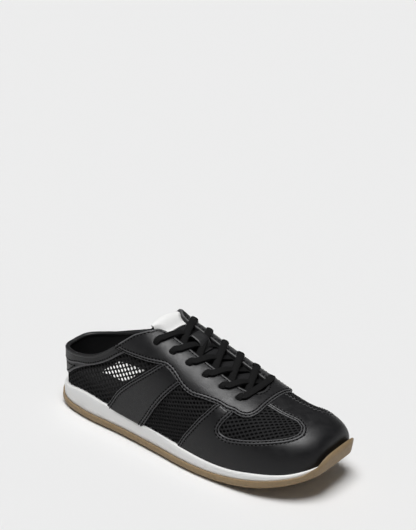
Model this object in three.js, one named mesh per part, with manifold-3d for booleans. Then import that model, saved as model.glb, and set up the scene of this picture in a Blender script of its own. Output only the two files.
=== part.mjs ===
// A low laced sneaker mule for the right foot: open heel quarter, leather overlays on a mesh
// upper, white midsole, gum outsole. Millimetres, +X to the toe, +Y to the inner (medial) side,
// +Z up, standing on z = 0.

import * as THREE from 'three';
import { mergeVertices } from 'three/addons/utils/BufferGeometryUtils.js';
import Module from 'manifold-3d';

const wasm = await Module();
wasm.setup();

// Driving sizes of the whole shoe
const SOLE_LENGTH = 270;
const BALL_WIDTH = 94;
const INSTEP_HEIGHT = 101;
const HEEL_COLLAR_HEIGHT = 53.5;
const COLLAR_PEAK_HEIGHT = 99.5;

// Sole
const OUTSOLE_THICKNESS = 7.4;
const MIDSOLE_HEEL = 17.3;
const TOE_SPRING = 22.6;
const HEEL_BEVEL = 4.1;
const HEEL_KICK = 3.1;
const SIDE_TAPER = 2.5;
const SIDE_HEIGHT = 3;
const TOE_UNDERCUT = 2.6;
const TOE_SLOPE = 1.4;
const GUM_TOP_INSET = 0.5;
const LIP_HEIGHT = 0.8;
const LIP_THICKNESS = 1.2;
const TOE_LIP_THICKNESS = 2.6;
const TOE_BUMPER = 3.4;
const MIDSOLE_BELLY = 0.4;
const GROOVE_PITCH = 9;
const GROOVE_WIDTH = 2.2;
const GROOVE_DEPTH = 1.6;
const FIRST_GROOVE = 0.05;
const LAST_GROOVE = 0.97;
const INSOLE_THICKNESS = 4;

// Upper and what lies on it
const HEEL_INSET = 4;
const TOE_INSET = 3.3;
const OVERLAY = 1.2;
const WALL = 2;
const CLEARANCE = 0.3;
const TONGUE_GAP = 0.9;
const TONGUE_THICKNESS = 3.5;
const TONGUE_RISE = 11;
const TONGUE_MARGIN = 3;
const LABEL_THICKNESS = 0.8;
const LABEL_MARGIN = 5;
const LABEL_GAP = 1.1;
const THROAT_END_RADIUS = 13;
const EYESTAY_MARGIN = 18.5;
const EYESTAY_END_RADIUS = 20;
const STRIP_HALF_WIDTH = 13;

// Lacing
const EYELET_ROWS = 6;
const EYELET_RADIUS = 2.3;
const LACE_WIDTH = 6;
const LACE_THICKNESS = 3;
const LACE_SIDES = 8;
const KEEPER_THICKNESS = 1.3;
const KEEPER_WIDTH = 12;
const KEEPER_RISE = 7.2;
const KEEPER_SIDE = 3;

// Mesh steps
const STATIONS = 22;
const GIRTH_STEPS = 11;
const SKIRT = 6;

const LATERAL = -1;
const MEDIAL = 1;
const UPPER_OUTSIDE = -(OVERLAY + CLEARANCE);
const UPPER_INSIDE = UPPER_OUTSIDE - WALL;
const TONGUE_OUTSIDE = UPPER_INSIDE - TONGUE_GAP;

// A table is a list of column names and rows whose first column runs along the shoe. It gives one
// smooth curve for each column: a cubic between rows, with three-point slopes at the rows.
function table(columns, rows) {
  const at = rows.map((row) => row[0]);
  const last = rows.length - 1;
  const curves = {};
  columns.forEach((name, column) => {
    const value = rows.map((row) => row[column]);
    const slope = value.map((v, i) => {
      const before = Math.max(i - 1, 0);
      const after = Math.min(i + 1, last);
      return (value[after] - value[before]) / (at[after] - at[before]);
    });
    curves[name] = (along) => {
      const a = Math.min(Math.max(along, at[0]), at[last]);
      let i = 0;
      while (i < last - 1 && a > at[i + 1]) i += 1;
      const step = at[i + 1] - at[i];
      const t = (a - at[i]) / step;
      const flip = 1 - t;
      return value[i] * (1 + 2 * t) * flip * flip + slope[i] * step * t * flip * flip
        + value[i + 1] * t * t * (3 - 2 * t) - slope[i + 1] * step * t * t * flip;
    };
  });
  return curves;
}

// Sole outline: along is a share of the sole's length, the rest are shares of the ball width.
const outline = table(['along', 'centre', 'lateral', 'medial'], [
  [0.00, -0.003, 0.369, 0.362],
  [0.15, -0.016, 0.360, 0.351],
  [0.30, -0.011, 0.354, 0.356],
  [0.45, -0.013, 0.385, 0.367],
  [0.58, -0.012, 0.434, 0.420],
  [0.70, 0.003, 0.470, 0.488],
  [0.82, 0.036, 0.509, 0.509],
  [0.92, 0.085, 0.538, 0.489],
  [1.00, 0.138, 0.537, 0.436],
]);

// Midsole thickness above the gum, as a share of its thickness at the heel.
const midsole = table(['along', 'thickness'], [
  [0.00, 1.00],
  [0.12, 0.99],
  [0.30, 0.79],
  [0.45, 0.71],
  [0.60, 0.51],
  [0.72, 0.37],
  [0.82, 0.32],
  [0.92, 0.19],
  [1.00, 0.15],
]);

// Upper sections: half widths at the feather line, ridge place and bulge as shares of the ball
// width, crest as a share of the instep height; wall is where the side stops rising straight, as
// a share of the rise, and crown how wide the top stays, as a share of the half width.
const section = table(
  ['along', 'lateral', 'medial', 'crest', 'ridge', 'wall', 'crown', 'bulge'],
  [
    [0.00, 0.330, 0.330, 1.110, 0.000, 0.60, 0.80, 0.010],
    [0.15, 0.325, 0.325, 1.110, 0.000, 0.60, 0.80, 0.010],
    [0.30, 0.340, 0.340, 1.090, 0.000, 0.68, 0.90, 0.021],
    [0.43, 0.364, 0.388, 1.000, 0.021, 0.75, 0.96, 0.028],
    [0.58, 0.397, 0.439, 0.842, 0.048, 0.67, 0.94, 0.029],
    [0.70, 0.434, 0.474, 0.733, 0.074, 0.64, 0.88, 0.032],
    [0.82, 0.472, 0.479, 0.658, 0.092, 0.61, 0.83, 0.031],
    [0.92, 0.504, 0.463, 0.668, 0.100, 0.63, 0.74, 0.031],
    [1.00, 0.500, 0.415, 0.653, 0.120, 0.64, 0.60, 0.031],
  ],
);

// Collar line from the side: up is the share of the climb from the heel collar to the peak.
const collar = [
  [-0.05, 0.00], [0.00, 0.00], [0.074, 0.04], [0.115, 0.09], [0.152, 0.15], [0.200, 0.27],
  [0.256, 0.49], [0.326, 0.81], [0.360, 0.93], [0.389, 1.00],
];

// Seam lines from the side: share of the sole's length, share of the instep height.
const collarBandEdge = [
  [-0.05, 0.405], [0.053, 0.414], [0.104, 0.440], [0.174, 0.520], [0.234, 0.636], [0.300, 0.796],
];
const heelPatchEdge = [
  [-0.05, 0.26], [0.053, 0.29], [0.104, 0.388], [0.174, 0.493], [0.240, 0.570],
];
const eyestayEdge = [
  [0.300, 0.796], [0.352, 0.803], [0.419, 0.815], [0.456, 0.818], [0.503, 0.774], [0.547, 0.694],
  [0.586, 0.663], [0.625, 0.662], [0.672, 0.650], [0.705, 0.616], [0.746, 0.585], [0.840, 0.545],
];
const bandRearEdge = [
  [0.190, 0.080], [0.238, 0.227], [0.313, 0.458], [0.393, 0.709], [0.456, 0.890],
];
const bandFrontEdge = [
  [0.380, 0.080], [0.416, 0.205], [0.481, 0.445], [0.549, 0.680], [0.600, 0.860],
];
const toeCapEdge = [
  [0.515, 0.050], [0.562, 0.268], [0.594, 0.389], [0.629, 0.515], [0.670, 0.643], [0.720, 0.800],
];
const windowSill = [
  [0.800, 0.800], [0.710, 0.800], [0.706, 0.600], [0.690, 0.545], [0.681, 0.475], [0.688, 0.415],
  [0.715, 0.392], [0.757, 0.408], [0.818, 0.444], [0.871, 0.482], [0.910, 0.505], [0.928, 0.530],
  [0.930, 0.800],
];
const WINDOW_REAR = 0.66;
const WINDOW_CORNER = 0.9;
const WINDOW_TIP = 0.93;
const CORNER_RADIUS = 8;

const PATCH_END = 0.235;

// Lacing rows run between the top and the bottom eyelets: centre and half gap are shares of the
// ball width. The throat's own half opening follows below it.
const TOP_ROW = 0.423;
const BOTTOM_ROW = 0.710;
const lacing = table(['along', 'centre', 'gap'], [
  [TOP_ROW, 0.011, 0.260],
  [BOTTOM_ROW, 0.053, 0.230],
]);
const throatOpening = [[0.300, 0.218], [0.389, 0.218], [0.444, 0.136], [0.690, 0.140]];
const THROAT_END = 0.744;
const EYESTAY_END = 0.788;
const EYESTAY_SHOULDER = 0.69;
const TONGUE_TOP = 0.398;
const TONGUE_BEND = 0.430;
const TONGUE_TOE = 0.715;
const FLARE_POWER = 1.3;
const LABEL_FOOT = 0.415;
const KEEPER_CENTRE = 0.4995;
const KEEPER_LENGTH = 17.2;

const xAt = (along) => (along - 0.5) * SOLE_LENGTH;
const alongAt = (x) => x / SOLE_LENGTH + 0.5;
const ramp = (along, from, to, power) => {
  const share = Math.min(Math.max((along - from) / (to - from), 0), 1);
  return share ** power;
};
const throatCentre = (along) => {
  const share = (along - TOP_ROW) / (BOTTOM_ROW - TOP_ROW);
  const top = lacing.centre(TOP_ROW);
  return (top + (lacing.centre(BOTTOM_ROW) - top) * share) * BALL_WIDTH;
};

// Heights along the sole
const SPRING_START = 0.6;
const SPRING_POWER = 2.1;
const BEVEL_LENGTH = 0.07;
const KICK_LENGTH = 0.05;
const BUMPER_START = 0.84;
const BUMPER_FULL = 0.93;
const bottomHeight = (along) => HEEL_BEVEL * ramp(along, BEVEL_LENGTH, 0, 2)
  + TOE_SPRING * ramp(along, SPRING_START, 1, SPRING_POWER);
const gumHeight = (along) => bottomHeight(along) + OUTSOLE_THICKNESS;
const seatHeight = (along) => gumHeight(along) - LIP_HEIGHT;
const featherHeight = (along) => gumHeight(along) + MIDSOLE_HEEL * midsole.thickness(along);
const gumTopHeight = (along) => {
  const side = gumHeight(along) + HEEL_KICK * ramp(along, KICK_LENGTH, 0, 2);
  const bumper = featherHeight(along) - side;
  return side + bumper * ramp(along, BUMPER_START, BUMPER_FULL, 1)
    + TOE_BUMPER * ramp(along, BUMPER_FULL, 1, 1);
};
const lipThickness = (along) => LIP_THICKNESS
  + (TOE_LIP_THICKNESS - LIP_THICKNESS) * ramp(along, BUMPER_START, 1, 1);

// Stations go from heel to toe. Both ends are rounded: end is how much of the half width is left,
// and lift how much of the rise, blunter at the toe than at the heel.
const HEEL_ROUND = 0.48;
const TOE_ROUND = 0.4;
const TOE_LIFT = 0.42;
const HEEL_SPACING = 1.5;
const TOE_SPACING = 2.2;
function station(turn) {
  const toe = turn > 0.5;
  const sine = Math.max(Math.sin(Math.PI * turn), 0) ** (toe ? TOE_SPACING : HEEL_SPACING);
  const atEnd = turn <= 0 || turn >= 1;
  const reach = atEnd ? 0 : sine;
  const cosine = Math.sqrt(1 - reach * reach) * (toe ? -1 : 1);
  return {
    along: (1 - cosine) / 2,
    end: reach ** (toe ? TOE_ROUND : HEEL_ROUND),
    lift: toe ? reach ** TOE_LIFT : 1,
  };
}
const stations = Array.from({ length: STATIONS + 1 }, (_, i) => station(i / STATIONS));

// Joins rows of loops into one closed mesh. Each row holds the lateral points and the medial
// points of the same stations, so straight strips across the shoe close its bottom and its top.
function closedLoft(rows) {
  const positions = [];
  const quad = (a, b, c, d) => {
    [a, b, c, a, c, d].forEach((p) => positions.push(p.x, p.y, p.z));
  };
  const count = rows[0].lateral.length - 1;
  for (let r = 0; r < rows.length - 1; r += 1) {
    const low = rows[r];
    const high = rows[r + 1];
    for (let i = 0; i < count; i += 1) {
      quad(low.lateral[i], low.lateral[i + 1], high.lateral[i + 1], high.lateral[i]);
      quad(low.medial[i + 1], low.medial[i], high.medial[i], high.medial[i + 1]);
    }
  }
  const first = rows[0];
  const last = rows[rows.length - 1];
  for (let i = 0; i < count; i += 1) {
    quad(first.medial[i], first.medial[i + 1], first.lateral[i + 1], first.lateral[i]);
    quad(last.lateral[i], last.lateral[i + 1], last.medial[i + 1], last.medial[i]);
  }
  return fromTriangles(positions);
}

// Merges shared corners and drops triangles that have closed up to a line.
function fromTriangles(positions) {
  const loose = new THREE.BufferGeometry();
  loose.setAttribute('position', new THREE.Float32BufferAttribute(positions, 3));
  const merged = mergeVertices(loose, 1e-3);
  const corners = merged.index.array;
  const kept = [];
  for (let i = 0; i < corners.length; i += 3) {
    const [a, b, c] = [corners[i], corners[i + 1], corners[i + 2]];
    if (a !== b && b !== c && c !== a) kept.push(a, b, c);
  }
  merged.setIndex(kept);
  return merged;
}

function toSolid(geometry) {
  const bare = geometry.clone();
  bare.deleteAttribute('normal');
  bare.deleteAttribute('uv');
  const merged = mergeVertices(bare, 1e-4);
  return new wasm.Manifold(new wasm.Mesh({
    numProp: 3,
    vertProperties: new Float32Array(merged.attributes.position.array),
    triVerts: new Uint32Array(merged.index.array),
  }));
}

function toGeometry(solid) {
  const mesh = solid.getMesh();
  const geometry = new THREE.BufferGeometry();
  geometry.setAttribute('position', new THREE.BufferAttribute(mesh.vertProperties, 3));
  geometry.setIndex(new THREE.BufferAttribute(mesh.triVerts, 1));
  geometry.computeVertexNormals();
  return geometry;
}

// Sole rings: a ring follows the outline at an offset and at a height, both running along.
function soleRing(offset, height) {
  const points = (side, name) => stations.map((place) => {
    const grow = offset(place.along);
    const x = (SOLE_LENGTH / 2 + grow) * (2 * place.along - 1);
    const half = outline[name](place.along) * BALL_WIDTH + grow;
    const y = outline.centre(place.along) * BALL_WIDTH + side * half * place.end;
    return new THREE.Vector3(x, y, height(alongAt(x)));
  });
  return { lateral: points(LATERAL, 'lateral'), medial: points(MEDIAL, 'medial') };
}

// A point of the upper's form: turn along the shoe, girth from 0 at the feather line to 1 at the
// crest. Growing the form moves its sides, its ends and its crest outwards alike.
function formPoint(place, side, girth, grow) {
  const heelEnd = -SOLE_LENGTH / 2 + HEEL_INSET - grow;
  const toeEnd = SOLE_LENGTH / 2 - TOE_INSET + grow;
  const x = heelEnd + (toeEnd - heelEnd) * place.along;
  const along = alongAt(x);
  const centre = outline.centre(along) * BALL_WIDTH;
  const width = side === LATERAL ? section.lateral(along) : section.medial(along);
  const half = (width * BALL_WIDTH + grow) * place.end;
  const foot = featherHeight(along) + CLEARANCE;
  const rise = (section.crest(along) * INSTEP_HEIGHT + grow - foot) * place.lift;
  const ridge = centre + (section.ridge(along) * BALL_WIDTH - centre) * place.end;
  const edge = centre + side * half;
  const belly = edge + side * section.bulge(along) * BALL_WIDTH * place.end;
  const shoulder = ridge + (edge - ridge) * section.crown(along);
  const t = girth;
  const s = 1 - t;
  const y = s * s * s * edge + 3 * s * s * t * belly + 3 * s * t * t * shoulder + t * t * t * ridge;
  const z = foot + rise * (3 * s * s * t * section.wall(along) + 3 * s * t * t + t * t * t);
  return new THREE.Vector3(x, y, z);
}

function formRow(girth, grow, drop = 0) {
  const points = (side) => stations.map((place) => {
    const point = formPoint(place, side, girth, grow);
    point.z -= drop;
    return point;
  });
  return { lateral: points(LATERAL), medial: points(MEDIAL) };
}

// The closed form, grown; drop carries its foot on down.
function form(grow, drop) {
  const rows = drop > 0 ? [formRow(0, grow, drop)] : [];
  for (let i = 0; i <= GIRTH_STEPS; i += 1) rows.push(formRow(i / GIRTH_STEPS, grow));
  return toSolid(closedLoft(rows));
}

const layer = (inside, outside) => form(outside, 0).subtract(form(inside, SKIRT));

// The form's surface over a place in plan, found by halving.
const HALVINGS = 40;
function stationAt(x, grow) {
  const heelEnd = -SOLE_LENGTH / 2 + HEEL_INSET - grow;
  const toeEnd = SOLE_LENGTH / 2 - TOE_INSET + grow;
  let low = 0;
  let high = 1;
  for (let i = 0; i < HALVINGS; i += 1) {
    const middle = (low + high) / 2;
    if (heelEnd + (toeEnd - heelEnd) * station(middle).along < x) low = middle;
    else high = middle;
  }
  return station(low);
}

function surfaceAt(x, y, grow) {
  const place = stationAt(x, grow);
  const ridge = formPoint(place, LATERAL, 1, grow).y;
  const side = y < ridge ? LATERAL : MEDIAL;
  let low = 0;
  let high = 1;
  for (let i = 0; i < HALVINGS; i += 1) {
    const middle = (low + high) / 2;
    const outside = side * (formPoint(place, side, middle, grow).y - y) > 0;
    if (outside) low = middle;
    else high = middle;
  }
  return formPoint(place, side, low, grow);
}

const NORMAL_STEP = 0.5;
function surfaceNormal(x, y, grow) {
  const at = (dx, dy) => surfaceAt(x + dx * NORMAL_STEP, y + dy * NORMAL_STEP, grow);
  const along = at(1, 0).sub(at(-1, 0));
  const across = at(0, 1).sub(at(0, -1));
  return along.cross(across).normalize();
}

// Seam lines as smooth curves in plan or side view, moved sideways by a gap where asked.
const sideLine = (shares, up = INSTEP_HEIGHT) => shares.map(
  ([along, height]) => new THREE.Vector2(xAt(along), height * up),
);

function smooth(points, gap = 0, steps = 2) {
  const curve = new THREE.SplineCurve(points);
  const count = (points.length - 1) * steps;
  return Array.from({ length: count + 1 }, (_, i) => {
    const point = curve.getPoint(i / count);
    const tangent = curve.getTangent(i / count);
    return new THREE.Vector2(point.x - tangent.y * gap, point.y + tangent.x * gap);
  });
}

// Blocks reach past the shoe: up to SKY, and for those cut in plan down to BLOCK_FLOOR, which is
// under the throat and the windows and over the sole.
const SKY = INSTEP_HEIGHT * 1.6;
const BLOCK_FLOOR = INSTEP_HEIGHT * 0.35;

// A block that cuts straight across the shoe, from a closed line in side view.
function sideBlock(points, from = -BALL_WIDTH, to = BALL_WIDTH) {
  const block = new THREE.ExtrudeGeometry(new THREE.Shape(points), {
    depth: to - from,
    bevelEnabled: false,
  });
  block.rotateX(Math.PI / 2);
  block.translate(0, to, 0);
  return toSolid(block);
}

// A block that cuts straight down, from a closed line in plan.
function planBlock(points) {
  const block = new THREE.ExtrudeGeometry(new THREE.Shape(points), {
    depth: SKY - BLOCK_FLOOR,
    bevelEnabled: false,
  });
  block.translate(0, 0, BLOCK_FLOOR);
  return toSolid(block);
}

const corner = (along, up) => new THREE.Vector2(xAt(along), up * INSTEP_HEIGHT);

// What is above the collar line, from the heel to the peak.
function aboveCollar() {
  const climb = COLLAR_PEAK_HEIGHT - HEEL_COLLAR_HEIGHT;
  const line = smooth(collar.map(
    ([along, up]) => new THREE.Vector2(xAt(along), HEEL_COLLAR_HEIGHT + climb * up),
  ));
  const peak = line[line.length - 1];
  const end = line[0];
  return sideBlock([...line, new THREE.Vector2(peak.x, SKY), new THREE.Vector2(end.x, SKY)]);
}

// The throat: two sides that flare to the collar and a round toe end.
function throatOutline(grow) {
  const lateral = [];
  const medial = [];
  throatOpening.forEach(([along, opening]) => {
    const centre = throatCentre(along);
    const half = opening * BALL_WIDTH + grow;
    lateral.push(new THREE.Vector2(xAt(along), centre - half));
    medial.unshift(new THREE.Vector2(xAt(along), centre + half));
  });
  const radius = THROAT_END_RADIUS + grow;
  const middle = new THREE.Vector2(xAt(THROAT_END) - THROAT_END_RADIUS, throatCentre(THROAT_END));
  const turns = [-60, -30, 0, 30, 60].map((angle) => THREE.MathUtils.degToRad(angle));
  const toeEnd = turns.map((angle) => new THREE.Vector2(
    middle.x + radius * Math.cos(angle),
    middle.y + radius * Math.sin(angle),
  ));
  return [...lateral, ...toeEnd, ...medial];
}

// The eyestay's block: above its lower seam and behind its round toe end.
function eyestayBlock(grow) {
  const line = smooth(sideLine(eyestayEdge), -grow);
  const rear = line[0];
  const front = line[line.length - 1];
  const above = sideBlock([
    new THREE.Vector2(rear.x - grow, rear.y),
    ...line,
    new THREE.Vector2(front.x, SKY),
    new THREE.Vector2(rear.x - grow, SKY),
  ]);
  const radius = EYESTAY_END_RADIUS + grow;
  const end = xAt(EYESTAY_END) - EYESTAY_END_RADIUS;
  const centre = throatCentre(EYESTAY_END);
  const half = THROAT_END_RADIUS + EYESTAY_MARGIN + grow;
  const straight = half - radius;
  const turns = [0, 22.5, 45, 67.5, 90].map((angle) => THREE.MathUtils.degToRad(angle));
  const arc = (side) => turns.map((angle) => new THREE.Vector2(
    end + radius * Math.cos(angle),
    centre + side * (straight + radius * Math.sin(angle)),
  ));
  const wide = BALL_WIDTH;
  const shoulder = xAt(EYESTAY_SHOULDER);
  const behind = planBlock([
    new THREE.Vector2(rear.x - grow, centre - wide),
    new THREE.Vector2(shoulder, centre - wide),
    ...arc(LATERAL).reverse(),
    ...arc(MEDIAL),
    new THREE.Vector2(shoulder, centre + wide),
    new THREE.Vector2(rear.x - grow, centre + wide),
  ]);
  return above.intersect(behind);
}

// Mesh windows of the toe: the sill from the side, the toe strip's edge from above.
function toeWindow(side) {
  const sill = windowSill.map(([along, up]) => corner(along, up));
  const from = side === LATERAL ? -BALL_WIDTH : 0;
  const fromSide = sideBlock(sill, from, from + BALL_WIDTH);
  const place = (along, out) => new THREE.Vector2(
    xAt(along),
    section.ridge(Math.min(along, WINDOW_CORNER)) * BALL_WIDTH + side * (STRIP_HALF_WIDTH + out),
  );
  const fromAbove = planBlock([
    place(WINDOW_REAR, 0),
    place(WINDOW_CORNER, 0),
    place((WINDOW_CORNER + WINDOW_TIP) / 2, CORNER_RADIUS / 3),
    place(WINDOW_TIP, CORNER_RADIUS),
    place(WINDOW_TIP, BALL_WIDTH),
    place(WINDOW_REAR, BALL_WIDTH),
  ]);
  return fromSide.intersect(fromAbove);
}

// One oval tube through points, flat along the surface's own normal.
function laceAlong(points, normals) {
  const rings = points.map((point, i) => {
    const before = points[Math.max(i - 1, 0)];
    const after = points[Math.min(i + 1, points.length - 1)];
    const tangent = after.clone().sub(before).normalize();
    const across = new THREE.Vector3().crossVectors(tangent, normals[i]).normalize();
    const up = new THREE.Vector3().crossVectors(across, tangent).normalize();
    return Array.from({ length: LACE_SIDES }, (_, k) => {
      const angle = (k + 0.5) * 2 * Math.PI / LACE_SIDES;
      return point.clone()
        .addScaledVector(across, LACE_WIDTH / 2 * Math.cos(angle))
        .addScaledVector(up, LACE_THICKNESS / 2 * Math.sin(angle));
    });
  });
  const positions = [];
  const face = (a, b, c) => [a, b, c].forEach((p) => positions.push(p.x, p.y, p.z));
  for (let i = 0; i < rings.length - 1; i += 1) {
    for (let k = 0; k < LACE_SIDES; k += 1) {
      const next = (k + 1) % LACE_SIDES;
      face(rings[i][k], rings[i + 1][k], rings[i + 1][next]);
      face(rings[i][k], rings[i + 1][next], rings[i][next]);
    }
  }
  const first = rings[0];
  const last = rings[rings.length - 1];
  for (let k = 1; k < LACE_SIDES - 1; k += 1) {
    face(first[0], first[k], first[k + 1]);
    face(last[0], last[k + 1], last[k]);
  }
  return toSolid(fromTriangles(positions));
}

// Half of the throat's opening at a place along the shoe.
function halfOpening(along) {
  const next = throatOpening.findIndex(([place]) => place > along);
  const i = Math.max(next < 0 ? throatOpening.length - 1 : next, 1);
  const [a, from] = throatOpening[i - 1];
  const [b, to] = throatOpening[i];
  return (from + (to - from) * Math.min((along - a) / (b - a), 1)) * BALL_WIDTH;
}

// How high the tongue's own face stands over the upper's inside, at its flared top.
function tongueLift(x, y) {
  const along = alongAt(x);
  const flare = ramp(along, TONGUE_BEND, TONGUE_TOP, FLARE_POWER);
  const share = Math.abs(y - throatCentre(along)) / (halfOpening(along) - TONGUE_MARGIN);
  return TONGUE_RISE * flare * Math.max(1 - share * share, 0);
}

function tonguePoint(x, y, depth) {
  const point = surfaceAt(x, y, TONGUE_OUTSIDE - depth);
  point.z += tongueLift(x, y);
  return point;
}

// A lace arm goes from one eyelet over the throat. Each row of its table gives how far it has
// gone towards the toe, in row steps, its place across in half throats, and its level: 0 on the
// tongue, 1 on the eyestay.
const lateralArm = [
  [0.00, -1.85, 1], [0.03, -1.40, 1], [0.06, -1.00, 1.05], [0.10, -0.60, 0.80],
  [0.14, -0.20, 0.30], [0.18, 0.25, 0.05], [0.21, 0.78, 0.0],
];
const medialArm = [
  [0.00, 1.85, 1], [0.10, 1.40, 1], [0.19, 1.00, 1.08], [0.30, 0.60, 0.55],
  [0.42, 0.15, 0.25], [0.54, -0.30, 0.05], [0.66, -0.72, 0.0],
];
const barArm = [
  [0.00, -1.75, 1], [0.00, -1.30, 1], [0.00, -0.85, 0.95], [0.00, -0.30, 0.80],
  [0.00, 0.30, 0.80], [0.00, 0.85, 0.95], [0.00, 1.30, 1], [0.00, 1.75, 1],
];
const ROW_STEP = (BOTTOM_ROW - TOP_ROW) / (EYELET_ROWS - 1);
function laceArm(row, arm) {
  const points = [];
  const normals = [];
  arm.forEach(([steps, across, level]) => {
    const along = TOP_ROW + (row + steps) * ROW_STEP;
    const x = xAt(along);
    const y = throatCentre(along) + across * THROAT_END_RADIUS;
    const low = surfaceAt(x, y, TONGUE_OUTSIDE).z + tongueLift(x - LACE_WIDTH / 2, y);
    const high = surfaceAt(x, y, 0).z;
    const normal = surfaceNormal(x, y, 0);
    const lift = (CLEARANCE + LACE_THICKNESS / 2) / normal.z;
    points.push(new THREE.Vector3(x, y, low + (high - low) * level + lift));
    normals.push(normal);
  });
  return laceAlong(points, normals);
}

const PIN_LENGTH = 16;
const PIN_SIDES = 8;
function eyeletPins(radius) {
  const pins = [];
  for (let row = 0; row < EYELET_ROWS; row += 1) {
    [LATERAL, MEDIAL].forEach((side) => {
      const along = TOP_ROW + row * ROW_STEP;
      const x = xAt(along);
      const y = throatCentre(along) + side * lacing.gap(along) * BALL_WIDTH;
      const pin = new THREE.CylinderGeometry(radius, radius, PIN_LENGTH, PIN_SIDES);
      const turn = new THREE.Quaternion().setFromUnitVectors(
        new THREE.Vector3(0, 1, 0),
        surfaceNormal(x, y, 0),
      );
      pin.applyQuaternion(turn);
      const place = surfaceAt(x, y, UPPER_OUTSIDE);
      pin.translate(place.x, place.y, place.z);
      pins.push(toSolid(pin));
    });
  }
  return pins;
}
const withoutAll = (solid, cuts) => cuts.reduce((left, cut) => left.subtract(cut), solid);

// Sole
const toeShare = (along) => ramp(along, BUMPER_START, 1, 1);
const gumFoot = (along) => -(SIDE_TAPER + TOE_UNDERCUT * toeShare(along));
const gumSide = (along) => -TOE_SLOPE * toeShare(along);
const gumTop = (along) => -GUM_TOP_INSET * (1 - toeShare(along));
const lipInside = (along) => gumTop(along) - lipThickness(along);
const midsoleSide = (along) => lipInside(along) - CLEARANCE;

function makeOutsole() {
  const body = toSolid(closedLoft([
    soleRing(gumFoot, bottomHeight),
    soleRing(gumSide, (along) => bottomHeight(along) + SIDE_HEIGHT),
    soleRing(gumTop, gumTopHeight),
    soleRing(lipInside, gumTopHeight),
    soleRing(lipInside, seatHeight),
  ]));
  const grooves = [];
  for (let x = xAt(FIRST_GROOVE); x < xAt(LAST_GROOVE); x += GROOVE_PITCH) {
    const rise = bottomHeight(alongAt(x + GROOVE_WIDTH)) - bottomHeight(alongAt(x - GROOVE_WIDTH));
    const groove = new THREE.BoxGeometry(GROOVE_WIDTH, 2 * BALL_WIDTH, GROOVE_DEPTH * 2);
    groove.rotateY(-Math.atan2(rise, 2 * GROOVE_WIDTH));
    groove.translate(x, 0, bottomHeight(alongAt(x)));
    grooves.push(toSolid(groove));
  }
  return withoutAll(body, [...grooves, form(CLEARANCE, CLEARANCE)]);
}

function makeMidsole() {
  const belly = (along) => midsoleSide(along)
    + MIDSOLE_BELLY * (1 - ramp(along, SPRING_START, BUMPER_START, 1));
  return toSolid(closedLoft([
    soleRing(midsoleSide, (along) => seatHeight(along) + CLEARANCE),
    soleRing(belly, (along) => (seatHeight(along) + featherHeight(along)) / 2),
    soleRing(midsoleSide, featherHeight),
  ]));
}

function makeInsole() {
  const grow = UPPER_INSIDE - CLEARANCE;
  return toSolid(closedLoft([formRow(0, grow), formRow(0, grow, -INSOLE_THICKNESS)]));
}

// Upper and its overlays
const collarCut = aboveCollar();
const throatCut = planBlock(throatOutline(0));
const eyeletCuts = eyeletPins(EYELET_RADIUS);
const overlayLayer = withoutAll(layer(-OVERLAY, 0), [collarCut, throatCut]);

function makeUpper() {
  const shell = layer(UPPER_INSIDE, UPPER_OUTSIDE);
  return withoutAll(shell, [collarCut, throatCut, ...eyeletCuts]);
}

function makeEyestay() {
  return withoutAll(overlayLayer.intersect(eyestayBlock(0)), eyeletCuts);
}

function makeCollarBand() {
  const edge = smooth(sideLine(collarBandEdge));
  const front = edge[edge.length - 1];
  const block = sideBlock([
    ...edge,
    new THREE.Vector2(front.x, SKY),
    new THREE.Vector2(edge[0].x, SKY),
  ]);
  return overlayLayer.intersect(block).subtract(eyestayBlock(CLEARANCE));
}

function makeHeelPatch() {
  const low = smooth(sideLine(heelPatchEdge));
  const high = smooth(sideLine(collarBandEdge), -CLEARANCE);
  const block = sideBlock([...low, ...high.reverse().filter((p) => p.x < xAt(PATCH_END))]);
  return overlayLayer.intersect(block);
}

function makeSideBand(side) {
  const rear = smooth(sideLine(bandRearEdge));
  const front = smooth(sideLine(bandFrontEdge)).reverse();
  const from = side === LATERAL ? -BALL_WIDTH : 0;
  const block = sideBlock([...rear, ...front], from, from + BALL_WIDTH);
  return overlayLayer.intersect(block).subtract(eyestayBlock(CLEARANCE));
}

function makeToeCap() {
  const rear = smooth(sideLine(toeCapEdge));
  const block = sideBlock([
    ...rear,
    new THREE.Vector2(SOLE_LENGTH, SKY),
    new THREE.Vector2(SOLE_LENGTH, 0),
    new THREE.Vector2(rear[0].x, 0),
  ]);
  return withoutAll(overlayLayer.intersect(block), [
    eyestayBlock(CLEARANCE),
    toeWindow(LATERAL),
    toeWindow(MEDIAL),
  ]);
}

// Tongue: a padded sheet under the eyestay whose top stands up out of the throat.
const TONGUE_STEPS = [0, 0.027, 0.054, 0.08, 0.101, 0.2, 0.32, 0.48, 0.65, 0.83, 1];
const TONGUE_ACROSS = [-1, -0.8, -0.55, -0.3, 0, 0.3, 0.55, 0.8, 1];
const TONGUE_TOP_HALF = 0.235 * BALL_WIDTH;
const TONGUE_TOE_HALF = 0.215 * BALL_WIDTH;

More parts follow.
